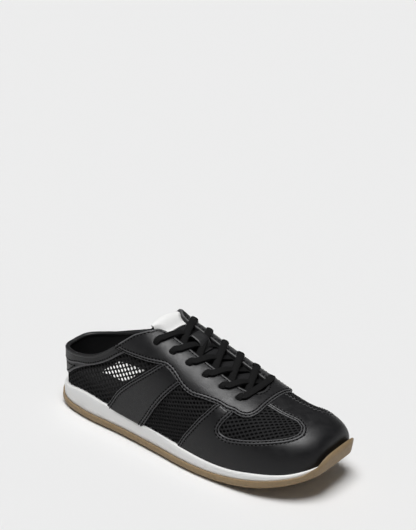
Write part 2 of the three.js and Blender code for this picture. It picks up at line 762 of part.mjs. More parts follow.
function sheetOver(steps, acrossSteps, placeOf, pointOf) {
  const rows = [0, 1].map((face) => steps.map(
    (step) => acrossSteps.map((across) => {
      const [x, y] = placeOf(step, across);
      return pointOf(x, y, face);
    }),
  ));
  const positions = [];
  const quad = (a, b, c, d) => {
    [a, b, c, a, c, d].forEach((p) => positions.push(p.x, p.y, p.z));
  };
  const [outside, inside] = rows;
  const n = steps.length - 1;
  const m = acrossSteps.length - 1;
  for (let i = 0; i < n; i += 1) {
    for (let k = 0; k < m; k += 1) {
      quad(outside[i][k], outside[i + 1][k], outside[i + 1][k + 1], outside[i][k + 1]);
      quad(inside[i][k], inside[i][k + 1], inside[i + 1][k + 1], inside[i + 1][k]);
    }
    quad(outside[i + 1][0], outside[i][0], inside[i][0], inside[i + 1][0]);
    quad(outside[i][m], outside[i + 1][m], inside[i + 1][m], inside[i][m]);
  }
  for (let k = 0; k < m; k += 1) {
    quad(outside[0][k], outside[0][k + 1], inside[0][k + 1], inside[0][k]);
    quad(outside[n][k + 1], outside[n][k], inside[n][k], inside[n][k + 1]);
  }
  return toSolid(fromTriangles(positions));
}

function makeTongue() {
  const placeOf = (step, across) => {
    const along = TONGUE_TOP + (TONGUE_TOE - TONGUE_TOP) * step;
    const half = TONGUE_TOP_HALF + (TONGUE_TOE_HALF - TONGUE_TOP_HALF) * step;
    return [xAt(along), throatCentre(along) + across * half];
  };
  const pointOf = (x, y, face) => tonguePoint(x, y, face * TONGUE_THICKNESS);
  return sheetOver(TONGUE_STEPS, TONGUE_ACROSS, placeOf, pointOf);
}

const LABEL_STEPS = [0, 0.5, 1];
const LABEL_ACROSS = [-1, -0.6, -0.25, 0.25, 0.6, 1];
function makeTongueLabel() {
  const placeOf = (step, across) => {
    const along = TONGUE_TOP + (LABEL_FOOT - TONGUE_TOP) * step;
    const half = halfOpening(along) - LABEL_MARGIN;
    return [xAt(along), throatCentre(along) + across * half];
  };
  const pointOf = (x, y, face) => {
    const point = tonguePoint(x, y, 0);
    point.z += LABEL_GAP + (1 - face) * LABEL_THICKNESS * 2;
    return point;
  };
  return sheetOver(LABEL_STEPS, LABEL_ACROSS, placeOf, pointOf);
}

// Lace keeper: a leather strip that arches over the second crossing, open to both sides. Its
// arch is a table of shares of the half length and of the rise.
const keeperArch = [
  [-1, 0], [-0.81, 0.1], [-0.55, 0.85], [-0.2, 1], [0.2, 1], [0.5, 0.85], [0.81, 0.1], [1, 0],
];
function makeLaceKeeper() {
  const middle = xAt(KEEPER_CENTRE);
  const side = throatCentre(KEEPER_CENTRE) + KEEPER_SIDE;
  const placeOf = (row, across) => [row, across];
  const pointOf = (row, across, face) => {
    const [share, rise] = keeperArch[row];
    const x = middle + share * KEEPER_LENGTH / 2;
    const point = tonguePoint(x, side + across * KEEPER_WIDTH / 2, 0);
    point.z += CLEARANCE + rise * KEEPER_RISE + (1 - face) * KEEPER_THICKNESS;
    return point;
  };
  return sheetOver([...keeperArch.keys()], [-1, 0, 1], placeOf, pointOf);
}

// Colours of the leather, mesh, rubber and laces
const look = (color, roughness) => new THREE.MeshStandardMaterial({
  color,
  roughness,
  metalness: 0,
});
const shoe = new THREE.Group();
function add(name, solid, material) {
  const mesh = new THREE.Mesh(toGeometry(solid), material);
  mesh.name = name;
  shoe.add(mesh);
}

add('outsole', makeOutsole(), look('#8d7558', 0.6));
add('midsole', makeMidsole(), look('#e6e6e4', 0.55));
add('insole', makeInsole(), look('#2b2b2d', 0.9));
add('upper', makeUpper(), look('#1c1c1e', 0.9));
add('toe_cap', makeToeCap(), look('#2c2c2e', 0.45));
add('side_band_lateral', makeSideBand(LATERAL), look('#2e2e30', 0.5));
add('side_band_medial', makeSideBand(MEDIAL), look('#2e2e30', 0.5));
add('eyestay', makeEyestay(), look('#3c3c3f', 0.5));
add('collar_band', makeCollarBand(), look('#303033', 0.5));
add('heel_patch', makeHeelPatch(), look('#29292b', 0.5));
add('tongue', makeTongue(), look('#202022', 0.9));
add('tongue_label', makeTongueLabel(), look('#f0f0ee', 0.8));
add('lace_keeper', makeLaceKeeper(), look('#2a2a2c', 0.5));
for (let row = 0; row < EYELET_ROWS - 1; row += 1) {
  const crossing = laceArm(row, lateralArm).add(laceArm(row, medialArm));
  add(`lace_crossing_${row + 1}`, crossing, look('#161617', 0.85));
}
add('lace_bar', laceArm(EYELET_ROWS - 1, barArm), look('#161617', 0.85));

// The outline is wider on one side: the shoe is set so that its box is centred on the origin.
const plan = new THREE.Box3().setFromObject(shoe.children[0]);
shoe.position.y = -(plan.min.y + plan.max.y) / 2;
shoe.position.x = -(plan.min.x + plan.max.x) / 2;

export default shoe;
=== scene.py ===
# A low laced sneaker mule for the right foot: smooth leather panels with double seams over a coarse
# see-through mesh, a padded tongue with a bare white top, flat black laces, a white foam midsole
# and a gum outsole. Lengths are millimetres until a piece becomes a mesh, which is in metres.

import math
from types import SimpleNamespace

import bmesh
import bpy
import numpy as np
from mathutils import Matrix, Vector, kdtree


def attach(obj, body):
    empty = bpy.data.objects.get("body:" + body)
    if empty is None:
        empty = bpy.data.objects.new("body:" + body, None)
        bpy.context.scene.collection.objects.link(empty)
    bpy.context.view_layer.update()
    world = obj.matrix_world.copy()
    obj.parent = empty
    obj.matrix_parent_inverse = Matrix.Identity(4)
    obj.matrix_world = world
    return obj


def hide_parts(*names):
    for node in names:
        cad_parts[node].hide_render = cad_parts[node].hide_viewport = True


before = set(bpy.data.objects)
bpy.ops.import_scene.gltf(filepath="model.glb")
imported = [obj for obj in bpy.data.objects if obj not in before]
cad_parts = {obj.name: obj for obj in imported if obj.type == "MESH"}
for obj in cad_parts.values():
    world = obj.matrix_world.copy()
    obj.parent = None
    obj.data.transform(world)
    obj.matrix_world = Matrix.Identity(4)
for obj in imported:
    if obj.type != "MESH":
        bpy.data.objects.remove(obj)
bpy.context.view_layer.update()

# Driving sizes of the shoe, as in the solid model
SOLE_LENGTH = 270
BALL_WIDTH = 94
INSTEP_HEIGHT = 101
HEEL_COLLAR_HEIGHT = 53.5
COLLAR_PEAK_HEIGHT = 99.5

# The shift that centres the sole across, and one millimetre in metres
PLAN_SHIFT = -2.018
MILLIMETRE = 0.001

# Sole
OUTSOLE_THICKNESS = 7.4
MIDSOLE_HEEL = 17.3
TOE_SPRING = 22.6
HEEL_BEVEL = 4.1
HEEL_KICK = 3.1
HEEL_DROP = 9
HEEL_DROP_LENGTH = 0.16
HEEL_DROP_POWER = 1.5
LIP_HEIGHT = 0.8
LIP_THICKNESS = 1.2
TOE_LIP_THICKNESS = 2.6
TOE_BUMPER = 8
GUM_TOP_INSET = 0.5
SPRING_START = 0.6
SPRING_POWER = 2.1
BEVEL_LENGTH = 0.07
KICK_LENGTH = 0.05
BUMPER_START = 0.956
BUMPER_FULL = 0.986
TOE_START = 0.84
LIP_START = 0.95
GROOVE_PITCH = 9
GROOVE_WIDTH = 2.2
GROOVE_DEPTH = 1.6
FIRST_GROOVE = 0.05
LAST_GROOVE = 0.97
INSOLE_THICKNESS = 4
INSOLE_PILE = 3.5

# Upper
HEEL_INSET = 4
TOE_INSET = 3.3
HEEL_ROUND = 0.48
TOE_ROUND = 0.4
TOE_LIFT = 0.42
LEATHER = 1.2
MESH_DEPTH = 1.5
WALL = 2
LINING_DEPTH = MESH_DEPTH + WALL
CLEARANCE = 0.3
TONGUE_GAP = 0.9
TONGUE_DEPTH = LINING_DEPTH + TONGUE_GAP
TONGUE_THICKNESS = 3.5
THROAT_END_RADIUS = 13
EYESTAY_MARGIN = 21.5
EYESTAY_END_RADIUS = 16
STRIP_HALF_WIDTH = 13

# Lacing
EYELET_ROWS = 6
EYELET_RADIUS = 2.3
LACE_WIDTH = 6
LACE_THICKNESS = 2.3

LATERAL = -1
MEDIAL = 1

# Numbers that keep a division safe, a length beyond any other, and the gap at a point with no
# seam near it
TINY = 1e-9
TINY_SQUARE = 1e-12
FAR_AWAY = 1e9
NO_SEAM = 50.0


# A table gives one smooth curve for each named column over its first column.
def table(columns, rows):
    rows = np.array(rows, float)
    at = rows[:, 0]
    last = len(at) - 1
    place = np.arange(last + 1)
    before = np.maximum(place - 1, 0)
    after = np.minimum(place + 1, last)
    curves = SimpleNamespace()
    for column, name in enumerate(columns):
        value = rows[:, column]
        slope = (value[after] - value[before]) / (at[after] - at[before])

        def curve(along, value=value, slope=slope):
            a = np.clip(along, at[0], at[-1])
            i = np.clip(np.searchsorted(at, a, side="right") - 1, 0, last - 1)
            step = at[i + 1] - at[i]
            t = (a - at[i]) / step
            flip = 1 - t
            return (value[i] * (1 + 2 * t) * flip**2 + slope[i] * step * t * flip**2
                    + value[i + 1] * t**2 * (3 - 2 * t) - slope[i + 1] * step * t**2 * flip)

        setattr(curves, name, curve)
    return curves


# Sole outline: shares of the ball width along the sole.
outline = table(["along", "centre", "lateral", "medial"], [
    [0.00, -0.003, 0.369, 0.362],
    [0.15, -0.016, 0.360, 0.351],
    [0.30, -0.011, 0.354, 0.356],
    [0.45, -0.013, 0.385, 0.367],
    [0.58, -0.012, 0.434, 0.420],
    [0.70, 0.003, 0.470, 0.488],
    [0.82, 0.036, 0.509, 0.509],
    [0.92, 0.085, 0.538, 0.489],
    [1.00, 0.138, 0.537, 0.436],
])

# Midsole thickness as a share of its thickness at the heel.
midsole = table(["along", "thickness"], [
    [0.00, 1.00], [0.12, 0.99], [0.30, 0.79], [0.45, 0.71], [0.60, 0.51],
    [0.72, 0.37], [0.82, 0.32], [0.92, 0.19], [1.00, 0.15],
])

# Upper sections: widths, ridge and bulge as shares of the ball width, crest as a share of the
# instep height, wall and crown the shape of the side and of the top.
section = table(["along", "lateral", "medial", "crest", "ridge", "wall", "crown", "bulge"], [
    [0.00, 0.330, 0.330, 1.110, 0.000, 0.60, 0.80, 0.010],
    [0.15, 0.325, 0.325, 1.110, 0.000, 0.60, 0.80, 0.010],
    [0.30, 0.340, 0.340, 1.090, 0.000, 0.68, 0.90, 0.021],
    [0.43, 0.364, 0.388, 1.000, 0.021, 0.75, 0.96, 0.028],
    [0.58, 0.397, 0.439, 0.842, 0.048, 0.67, 0.94, 0.029],
    [0.70, 0.434, 0.474, 0.733, 0.074, 0.64, 0.88, 0.032],
    [0.82, 0.472, 0.479, 0.658, 0.092, 0.61, 0.83, 0.031],
    [0.92, 0.504, 0.463, 0.668, 0.100, 0.63, 0.74, 0.031],
    [1.00, 0.500, 0.415, 0.653, 0.120, 0.64, 0.60, 0.031],
])

# Collar line from the side: share of the length, share of the climb to the peak.
collar_line = [
    [-0.05, 0.00], [0.00, 0.00], [0.074, 0.04], [0.115, 0.09], [0.152, 0.15], [0.200, 0.27],
    [0.256, 0.49], [0.326, 0.825], [0.352, 0.945], [0.372, 1.01], [0.389, 1.04],
]
medial_collar_line = [
    [-0.05, 0.00], [0.00, 0.00], [0.059, 0.055], [0.119, 0.140], [0.170, 0.240], [0.234, 0.365],
    [0.270, 0.460], [0.310, 0.660], [0.345, 0.870], [0.370, 0.985], [0.389, 1.04],
]

# Seam lines from the side: share of the sole's length, share of the instep height.
collar_band_edge = [
    [-0.05, 0.412], [0.052, 0.423], [0.110, 0.471], [0.170, 0.518], [0.238, 0.617], [0.294, 0.728],
    [0.330, 0.800],
]
heel_patch_edge = [
    [-0.05, 0.240], [0.036, 0.293], [0.080, 0.378], [0.123, 0.452], [0.168, 0.510],
]
eyestay_edge = [
    [0.262, 0.786], [0.300, 0.780], [0.330, 0.777], [0.376, 0.785], [0.419, 0.793], [0.468, 0.804],
    [0.490, 0.795], [0.514, 0.758], [0.540, 0.706], [0.561, 0.674], [0.587, 0.653], [0.624, 0.647],
    [0.672, 0.630], [0.700, 0.602], [0.727, 0.574], [0.748, 0.557], [0.768, 0.544], [0.840, 0.515],
]
band_rear_edge = [
    [0.190, 0.060], [0.250, 0.251], [0.289, 0.399], [0.335, 0.522], [0.379, 0.622], [0.420, 0.715],
    [0.454, 0.793], [0.490, 0.870],
]
band_front_edge = [
    [0.365, 0.060], [0.397, 0.190], [0.421, 0.285], [0.449, 0.401], [0.487, 0.541], [0.522, 0.650],
    [0.552, 0.735], [0.600, 0.860],
]
toe_cap_edge = [
    [0.515, 0.050], [0.562, 0.268], [0.594, 0.389], [0.627, 0.510], [0.641, 0.556], [0.664, 0.636],
    [0.714, 0.800],
]
window_sill = [
    [0.800, 0.800], [0.734, 0.800], [0.723, 0.610], [0.706, 0.530], [0.697, 0.470], [0.704, 0.438],
    [0.728, 0.425], [0.763, 0.436], [0.811, 0.460], [0.854, 0.486], [0.893, 0.511], [0.918, 0.533],
    [0.960, 0.575], [1.050, 0.650], [1.050, 0.800],
]
WINDOW_REAR = 0.66
WINDOW_CORNER = 0.885
WINDOW_TIP = 0.929
CORNER_RADIUS = 8
PATCH_END = 0.165

# Lacing rows: centre and half gap are shares of the ball width.
TOP_ROW = 0.423
BOTTOM_ROW = 0.710
lacing = table(["along", "centre", "gap"], [
    [TOP_ROW, 0.011, 0.260],
    [BOTTOM_ROW, 0.053, 0.230],
])
ROW_STEP = (BOTTOM_ROW - TOP_ROW) / (EYELET_ROWS - 1)

# Throat: share of the sole's length, half its width as a share of the ball width.
throat_opening = [
    [0.300, 0.245], [0.352, 0.240], [0.363, 0.232], [0.376, 0.211], [0.388, 0.185], [0.400, 0.163],
    [0.414, 0.145], [0.428, 0.136], [0.690, 0.140],
]

# Places along the shoe are shares of the sole's length; keeper sizes are millimetres.
THROAT_END = 0.744
EYESTAY_END = 0.784
EYESTAY_SHOULDER = 0.69
TONGUE_TOE = 0.715
LABEL_FOOT = 0.430
KEEPER_CENTRE = 0.508
KEEPER_LENGTH = 17.2
KEEPER_WIDTH = 12
KEEPER_RISE = 6.6
KEEPER_SIDE = 1.5
KEEPER_THICKNESS = 1.3


def x_at(along):
    return (along - 0.5) * SOLE_LENGTH


def along_at(x):
    return x / SOLE_LENGTH + 0.5


def ramp(value, start, end, power=1):
    return np.clip((value - start) / (end - start), 0, 1) ** power


def soft_ramp(value, start, end):
    t = ramp(value, start, end)
    return t * t * (3 - 2 * t)


def throat_centre(along):
    share = (along - TOP_ROW) / (BOTTOM_ROW - TOP_ROW)
    top = lacing.centre(TOP_ROW)
    return (top + (lacing.centre(BOTTOM_ROW) - top) * share) * BALL_WIDTH


# Heights along the sole
def bottom_height(along):
    return (HEEL_BEVEL * ramp(along, BEVEL_LENGTH, 0, 2)
            + TOE_SPRING * ramp(along, SPRING_START, 1, SPRING_POWER))


def gum_height(along):
    return bottom_height(along) + OUTSOLE_THICKNESS


def seat_height(along):
    return gum_height(along) - LIP_HEIGHT


def feather_height(along):
    heel = HEEL_DROP * ramp(along, HEEL_DROP_LENGTH, 0, HEEL_DROP_POWER)
    return gum_height(along) + MIDSOLE_HEEL * midsole.thickness(along) - heel


def gum_top_height(along):
    side = gum_height(along) + HEEL_KICK * ramp(along, KICK_LENGTH, 0, 2)
    bumper = feather_height(along) - side
    return (side + bumper * soft_ramp(along, BUMPER_START, BUMPER_FULL)
            + TOE_BUMPER * ramp(along, BUMPER_FULL, 1))


def toe_share(along):
    return ramp(along, TOE_START, 1)


def gum_top(along):
    return -GUM_TOP_INSET * (1 - toe_share(along))


def lip_inside(along):
    lip = LIP_THICKNESS + (TOE_LIP_THICKNESS - LIP_THICKNESS) * ramp(along, LIP_START, 1)
    return gum_top(along) - lip


# The upper's form. share runs from the heel end to the toe end, girth from the feather line up to
# the crest; grow moves the form outwards.
def form_ends(grow):
    return -SOLE_LENGTH / 2 + HEEL_INSET - grow, SOLE_LENGTH / 2 - TOE_INSET + grow


def share_at(x, grow):
    heel_end, toe_end = form_ends(grow)
    return np.clip((x - heel_end) / (toe_end - heel_end), 0, 1)


def form_point(share, side, girth, grow):
    heel_end, toe_end = form_ends(grow)
    x = heel_end + (toe_end - heel_end) * share
    along = along_at(x)
    reach = 2 * np.sqrt(np.clip(share * (1 - share), 0, None))
    toe = share > 0.5
    end = reach ** np.where(toe, TOE_ROUND, HEEL_ROUND)
    lift = np.where(toe, reach**TOE_LIFT, 1)
    centre = outline.centre(along) * BALL_WIDTH
    width = np.where(side == LATERAL, section.lateral(along), section.medial(along))
    half = (width * BALL_WIDTH + grow) * end
    foot = feather_height(along) + CLEARANCE
    rise = (section.crest(along) * INSTEP_HEIGHT + grow - foot) * lift
    ridge = centre + (section.ridge(along) * BALL_WIDTH - centre) * end
    edge = centre + side * half
    belly = edge + side * section.bulge(along) * BALL_WIDTH * end
    shoulder = ridge + (edge - ridge) * section.crown(along)
    t = girth
    s = 1 - t
    y = s**3 * edge + 3 * s * s * t * belly + 3 * s * t * t * shoulder + t**3 * ridge
    z = foot + rise * (3 * s * s * t * section.wall(along) + 3 * s * t * t + t**3)
    return np.stack(np.broadcast_arrays(x, y, z), -1)


HALVINGS = 34


def surface_at(x, y, grow):
    """The form's surface over a place in plan."""
    share = share_at(x, grow)
    ridge = form_point(share, MEDIAL, np.ones_like(share), grow)[..., 1]
    side = np.where(y < ridge, LATERAL, MEDIAL)
    low = np.zeros(np.broadcast(x, y).shape)
    high = np.ones_like(low)
    for _ in range(HALVINGS):
        middle = (low + high) / 2
        outside = side * (form_point(share, side, middle, grow)[..., 1] - y) > 0
        low = np.where(outside, middle, low)
        high = np.where(outside, high, middle)
    return form_point(share, side, low, grow)


def plan_normal(x, y, grow):
    step = 0.5
    along = surface_at(x + step, y, grow) - surface_at(x - step, y, grow)
    across = surface_at(x, y + step, grow) - surface_at(x, y - step, grow)
    return unit(np.cross(along, across))


def unit(v):
    return v / np.maximum(np.linalg.norm(v, axis=-1, keepdims=True), TINY)


# Smooth lines through a few points, and distances to closed lines
def smooth(points, steps=8):
    p = np.array(points, float)
    padded = np.vstack([2 * p[0] - p[1], p, 2 * p[-1] - p[-2]])
    out = []
    for i in range(1, len(padded) - 2):
        a, b, c, d = padded[i - 1:i + 3]
        for t in np.arange(steps) / steps:
            out.append(0.5 * (2 * b + (c - a) * t + (2 * a - 5 * b + 4 * c - d) * t**2
                              + (3 * b - a - 3 * c + d) * t**3))
    out.append(p[-1])
    return np.array(out)


def side_line(shares):
    return [[x_at(along), up * INSTEP_HEIGHT] for along, up in shares]


def closed_distance(points, polygon):
    """Signed distance to a closed line, positive inside it, and its direction."""
    best = np.full(len(points), FAR_AWAY)
    away = np.zeros_like(points)
    inside = np.zeros(len(points), bool)
    for a, b in zip(polygon, np.roll(polygon, -1, axis=0)):
        along = b - a
        length = max(along @ along, TINY_SQUARE)
        t = np.clip((points - a) @ along / length, 0, 1)
        gap = points - (a + t[:, None] * along)
        far = np.linalg.norm(gap, axis=1)
        nearer = far < best
        best = np.where(nearer, far, best)
        away = np.where(nearer[:, None], gap, away)
        spans = (a[1] > points[:, 1]) != (b[1] > points[:, 1])
        rise = np.where(abs(b[1] - a[1]) < TINY_SQUARE, TINY_SQUARE, b[1] - a[1])
        left = points[:, 0] < (b[0] - a[0]) * (points[:, 1] - a[1]) / rise + a[0]
        inside ^= spans & left
    return np.where(inside, best, -best), unit(away)


SKY = INSTEP_HEIGHT * 1.6
LEAST_SLOPE = 0.3


def field_from(sheet, polygon, axes):
    """A closed line seen along one axis, as true distances on a sheet's surface."""
    flat, away = closed_distance(sheet.points[:, axes], np.array(polygon, float))
    tilt = (away * sheet.normals[:, axes]).sum(1)
    return flat / np.maximum(np.sqrt(np.clip(1 - tilt**2, 0, 1)), LEAST_SLOPE)


SIDE_VIEW = [0, 2]
PLAN_VIEW = [0, 1]


def collar_polygon(shares):
    climb = COLLAR_PEAK_HEIGHT - HEEL_COLLAR_HEIGHT
    line = smooth([[x_at(along), HEEL_COLLAR_HEIGHT + climb * up] for along, up in shares])
    return np.vstack([line, [line[-1][0], SKY], [line[0][0], SKY]])


THROAT_STEPS = 90
THROAT_TURN = 75
THROAT_TURN_STEPS = 21
CORNER_TURN = 90
CORNER_STEPS = 13


def arc_points(middle, radius, first, last, steps):
    turns = np.radians(np.linspace(first, last, steps))
    return [[middle[0] + radius * math.cos(a), middle[1] + radius * math.sin(a)] for a in turns]


def half_opening(along):
    at, half = np.array(throat_opening).T
    return np.interp(along, at, half) * BALL_WIDTH


def throat_polygon():
    lateral = []
    medial = []
    for along in np.linspace(throat_opening[0][0], throat_opening[-1][0], THROAT_STEPS):
        centre = throat_centre(along)
        lateral.append([x_at(along), centre - half_opening(along)])
        medial.insert(0, [x_at(along), centre + half_opening(along)])
    middle = [x_at(THROAT_END) - THROAT_END_RADIUS, throat_centre(THROAT_END)]
    end = arc_points(middle, THROAT_END_RADIUS, -THROAT_TURN, THROAT_TURN, THROAT_TURN_STEPS)
    return np.array(lateral + end + medial)


def eyestay_polygons():
    line = smooth(side_line(eyestay_edge))
    above = np.vstack([line, [line[-1][0], SKY], [-SOLE_LENGTH, SKY], [-SOLE_LENGTH, line[0][1]]])
    end = x_at(EYESTAY_END) - EYESTAY_END_RADIUS
    centre = throat_centre(EYESTAY_END)
    straight = THROAT_END_RADIUS + EYESTAY_MARGIN - EYESTAY_END_RADIUS
    arc = arc_points([end, straight], EYESTAY_END_RADIUS, 0, CORNER_TURN, CORNER_STEPS)
    shoulder = x_at(EYESTAY_SHOULDER)
    behind = [[-SOLE_LENGTH, centre - SOLE_LENGTH], [shoulder, centre - SOLE_LENGTH]]
    behind += [[x, centre - y] for x, y in reversed(arc)]
    behind += [[x, centre + y] for x, y in arc]
    behind += [[shoulder, centre + SOLE_LENGTH], [-SOLE_LENGTH, centre + SOLE_LENGTH]]
    return above, np.array(behind)


def soft_least(a, b, round_off):
    blend = np.clip(0.5 + 0.5 * (b - a) / round_off, 0, 1)
    return b * (1 - blend) + a * blend - round_off * blend * (1 - blend)


# Sheets: triangles on the form with named fields, which are cut where a field is zero
GRID_ALONG = 520
GRID_GIRTH = 118
TUCK = 1.4
END_SHARES = 3001
EVEN_SHARES = 2001
MEASURED_LINES = ((LATERAL, 0.2), (MEDIAL, 0.2), (LATERAL, 0.9))


def even_shares(count):
    """Shares of the form's length whose sections stand evenly round its outline."""
    e = np.linspace(0, 1, END_SHARES)
    heel = e ** (1 / HEEL_ROUND)
    toe = e ** (1 / TOE_ROUND)
    heel_share = heel**2 / (2 * (1 + np.sqrt(1 - heel**2)))
    toe_share_left = toe**2 / (2 * (1 + np.sqrt(1 - toe**2)))
    even = np.linspace(0, 1, EVEN_SHARES)
    share = np.unique(np.concatenate([heel_share, 1 - toe_share_left, even]))
    lengths = []
    for side, girth in MEASURED_LINES:
        line = form_point(share, side, np.full_like(share, girth), 0)
        steps = np.linalg.norm(np.diff(line, axis=0), axis=1)
        lengths.append(np.concatenate([[0], np.cumsum(steps)]))
    arc = np.mean(lengths, axis=0)
    return np.interp(np.linspace(0, arc[-1], count + 1), arc, share)


def form_sheet(grow, along_steps=GRID_ALONG, girth_steps=GRID_GIRTH):
    """The whole form as one sheet, tucked in below the feather line."""
    share = even_shares(along_steps)
    v = np.concatenate([[-1], np.linspace(-1, 1, 2 * girth_steps + 1), [1]])
    side = np.where(v < 0, LATERAL, MEDIAL)
    grid = form_point(share[:, None], side[None, :], 1 - abs(v)[None, :], grow)
    grid[:, 0, 2] -= TUCK
    grid[:, -1, 2] -= TUCK
    rows, columns = grid.shape[:2]
    ids = np.arange(rows * columns).reshape(rows, columns)
    ids[0] = ids[0][np.minimum(np.arange(columns), columns - 1 - np.arange(columns))]
    ids[-1, 1:-1] = ids[-1, columns // 2]
    ids[-1, -1] = ids[-1, 0]
    a, b, c, d = ids[:-1, :-1], ids[1:, :-1], ids[1:, 1:], ids[:-1, 1:]
    triangles = np.concatenate([
        np.stack([a, b, c], -1).reshape(-1, 3),
        np.stack([a, c, d], -1).reshape(-1, 3),
    ])
    whole = ((triangles[:, 0] != triangles[:, 1]) & (triangles[:, 1] != triangles[:, 2])
             & (triangles[:, 2] != triangles[:, 0]))
    sheet = SimpleNamespace(points=grid.reshape(-1, 3), triangles=triangles[whole], fields={})
    sheet.normals = normals_of(sheet.points, sheet.triangles)
    return sheet


def normals_of(points, triangles):
    a, b, c = (points[triangles[:, i]] for i in range(3))
    face = np.cross(b - a, c - a)
    normals = np.zeros_like(points)
    for i in range(3):
        np.add.at(normals, triangles[:, i], face)
    return unit(normals)


CUT_NUDGE = 1e-6
LEVEL_NUDGE = 1e-7


def clip(sheet, field):
    """What is left of a sheet where the field is positive."""
    values = np.where(np.abs(field) < CUT_NUDGE, CUT_NUDGE, field)
    inside = values > 0
    triangles = sheet.triangles
    count = inside[triangles].sum(1)
    blends = []
    cuts = {}

    def cut(a, b):
        key = (min(a, b), max(a, b))
        if key not in cuts:
            t = values[key[0]] / (values[key[0]] - values[key[1]])
            cuts[key] = len(values) + len(blends)
            blends.append((key[0], key[1], t))
        return cuts[key]

    extra = []
    for tri in triangles[(count == 1) | (count == 2)]:
        tri = [int(v) for v in tri]
        for turn in range(3):
            a, b, c = tri[turn:] + tri[:turn]
            if inside[a] and not inside[b] and not inside[c]:
                extra.append([a, cut(a, b), cut(a, c)])
            elif inside[a] and inside[b] and not inside[c]:
                bc = cut(b, c)
                ca = cut(c, a)
                extra.append([a, b, bc])
                extra.append([a, bc, ca])
    kept = triangles[count == 3]
    if extra:
        kept = np.concatenate([kept, np.array(extra)])

    def widen(array):
        if not blends:
            return array
        first = np.array([x[0] for x in blends])
        second = np.array([x[1] for x in blends])
        t = np.array([x[2] for x in blends])
        t = t[:, None] if array.ndim > 1 else t
        return np.concatenate([array, array[first] * (1 - t) + array[second] * t])

    used, kept = np.unique(kept, return_inverse=True)
    kept = kept.reshape(-1, 3)
    fields = {name: widen(array)[used] for name, array in sheet.fields.items()}
    edge = widen(values)[used]
    fields["edge"] = np.maximum(edge, 0)
    return SimpleNamespace(
        points=widen(sheet.points)[used],
        normals=unit(widen(sheet.normals)[used]),
        triangles=kept,
        fields=fields,
    )


def rim_edges(triangles):
    """Directed edges that only one triangle uses."""
    edges = np.concatenate([triangles[:, [0, 1]], triangles[:, [1, 2]], triangles[:, [2, 0]]])
    key = np.sort(edges, axis=1)
    _, first, count = np.unique(key, axis=0, return_index=True, return_counts=True)
    return edges[first[count == 1]]


def level_lines(sheet, field, level, least=4.0):
    """Lines on a sheet where a field has one value, as lists of points with normals."""
    value = field - level
    value = np.where(np.abs(value) < LEVEL_NUDGE, LEVEL_NUDGE, value)
    up = value > 0
    tri = sheet.triangles
    crossing = tri[(up[tri].sum(1) % 3) != 0]
    places = {}
    near = {}

    def place(a, b):
        key = (min(a, b), max(a, b))
        if key not in places:
            t = value[key[0]] / (value[key[0]] - value[key[1]])
            places[key] = (sheet.points[key[0]] * (1 - t) + sheet.points[key[1]] * t,
                           sheet.normals[key[0]] * (1 - t) + sheet.normals[key[1]] * t)
        return key

    for a, b, c in crossing.tolist():
        ends = [place(p, q) for p, q in ((a, b), (b, c), (c, a)) if up[p] != up[q]]
        if len(ends) == 2 and ends[0] != ends[1]:
            near.setdefault(ends[0], []).append(ends[1])
            near.setdefault(ends[1], []).append(ends[0])
    lines = []
    seen = set()
    starts = [key for key in near if len(near[key]) == 1] + list(near)
    for start in starts:
        if start in seen:
            continue
        line = [start]
        seen.add(start)
        while True:
            ahead = [key for key in near[line[-1]] if key not in seen]
            if not ahead:
                break
            line.append(ahead[0])
            seen.add(ahead[0])
        if len(line) > 2 and start in near[line[-1]]:
            line.append(start)
        points = np.array([places[key][0] for key in line])
        length = np.linalg.norm(np.diff(points, axis=0), axis=1).sum() if len(line) > 1 else 0
        if length > least:
            lines.append((points, unit(np.array([places[key][1] for key in line]))))
    return lines


# Meshes and pieces
CORNER_RISE = 3.8
CORNER_PLACE = (-31.5, 23.0)
CORNER_SPREAD = 6.0
CORNER_FLOOR = 80


def with_raised_corner(points):
    """The folded top end of the medial eyestay stands a little off the form."""
    away = np.hypot(points[..., 0] - CORNER_PLACE[0], points[..., 1] - CORNER_PLACE[1])
    rise = CORNER_RISE * np.exp(-(away / CORNER_SPREAD) ** 2 / 2) * (points[..., 2] > CORNER_FLOOR)
    return points + rise[..., None] * np.array([0, 0, 1.0])


def to_row(points):
    return (with_raised_corner(np.asarray(points, float)) + [0, PLAN_SHIFT, 0]) * MILLIMETRE


def make_piece(name, points, faces, material, replaced, attributes=None):
    mesh = bpy.data.meshes.new(name)
    mesh.from_pydata(to_row(points).tolist(), [], [list(map(int, face)) for face in faces])
    for key, values in (attributes or {}).items():
        attribute = mesh.attributes.new(key, "FLOAT", "POINT")
        attribute.data.foreach_set("value", np.asarray(values, np.float32))
    mesh.shade_smooth()
    mesh.materials.append(material)
    mesh.update()
    piece = bpy.data.objects.new(name, mesh)
    bpy.context.collection.objects.link(piece)
    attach(piece, "root")
    if replaced:
        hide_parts(*replaced)
    return piece


EDGE_DROP = 0.6
SINK_REACH = 2.2


def leather_shell(sheet, thickness, raise_by=0.0, round_over=0.7, sink=0.0, under=None):
    """A cut sheet as a closed shell with a rounded edge, lowered where it goes under another."""
    edge = sheet.fields["edge"]
    near = np.clip(1 - edge / round_over, 0, 1)
    height = (raise_by - round_over * EDGE_DROP * (1 - np.sqrt(1 - near**2))
              - sink * np.exp(-edge / SINK_REACH))
    if under is not None:
        height = height - under
    top = sheet.points + sheet.normals * height[:, None]
    bottom = sheet.points + sheet.normals * (height.clip(None, raise_by) - thickness)[:, None]
    count = len(top)
    rim = rim_edges(sheet.triangles)
    used = np.unique(rim)
    place = {int(v): count + i for i, v in enumerate(used)}
    points = np.vstack([top, bottom[used]])
    walls = [[b, a, place[int(a)], place[int(b)]] for a, b in rim]
    fields = {name: np.concatenate([array, array[used]]) for name, array in sheet.fields.items()}
    return points, list(sheet.triangles) + walls, fields


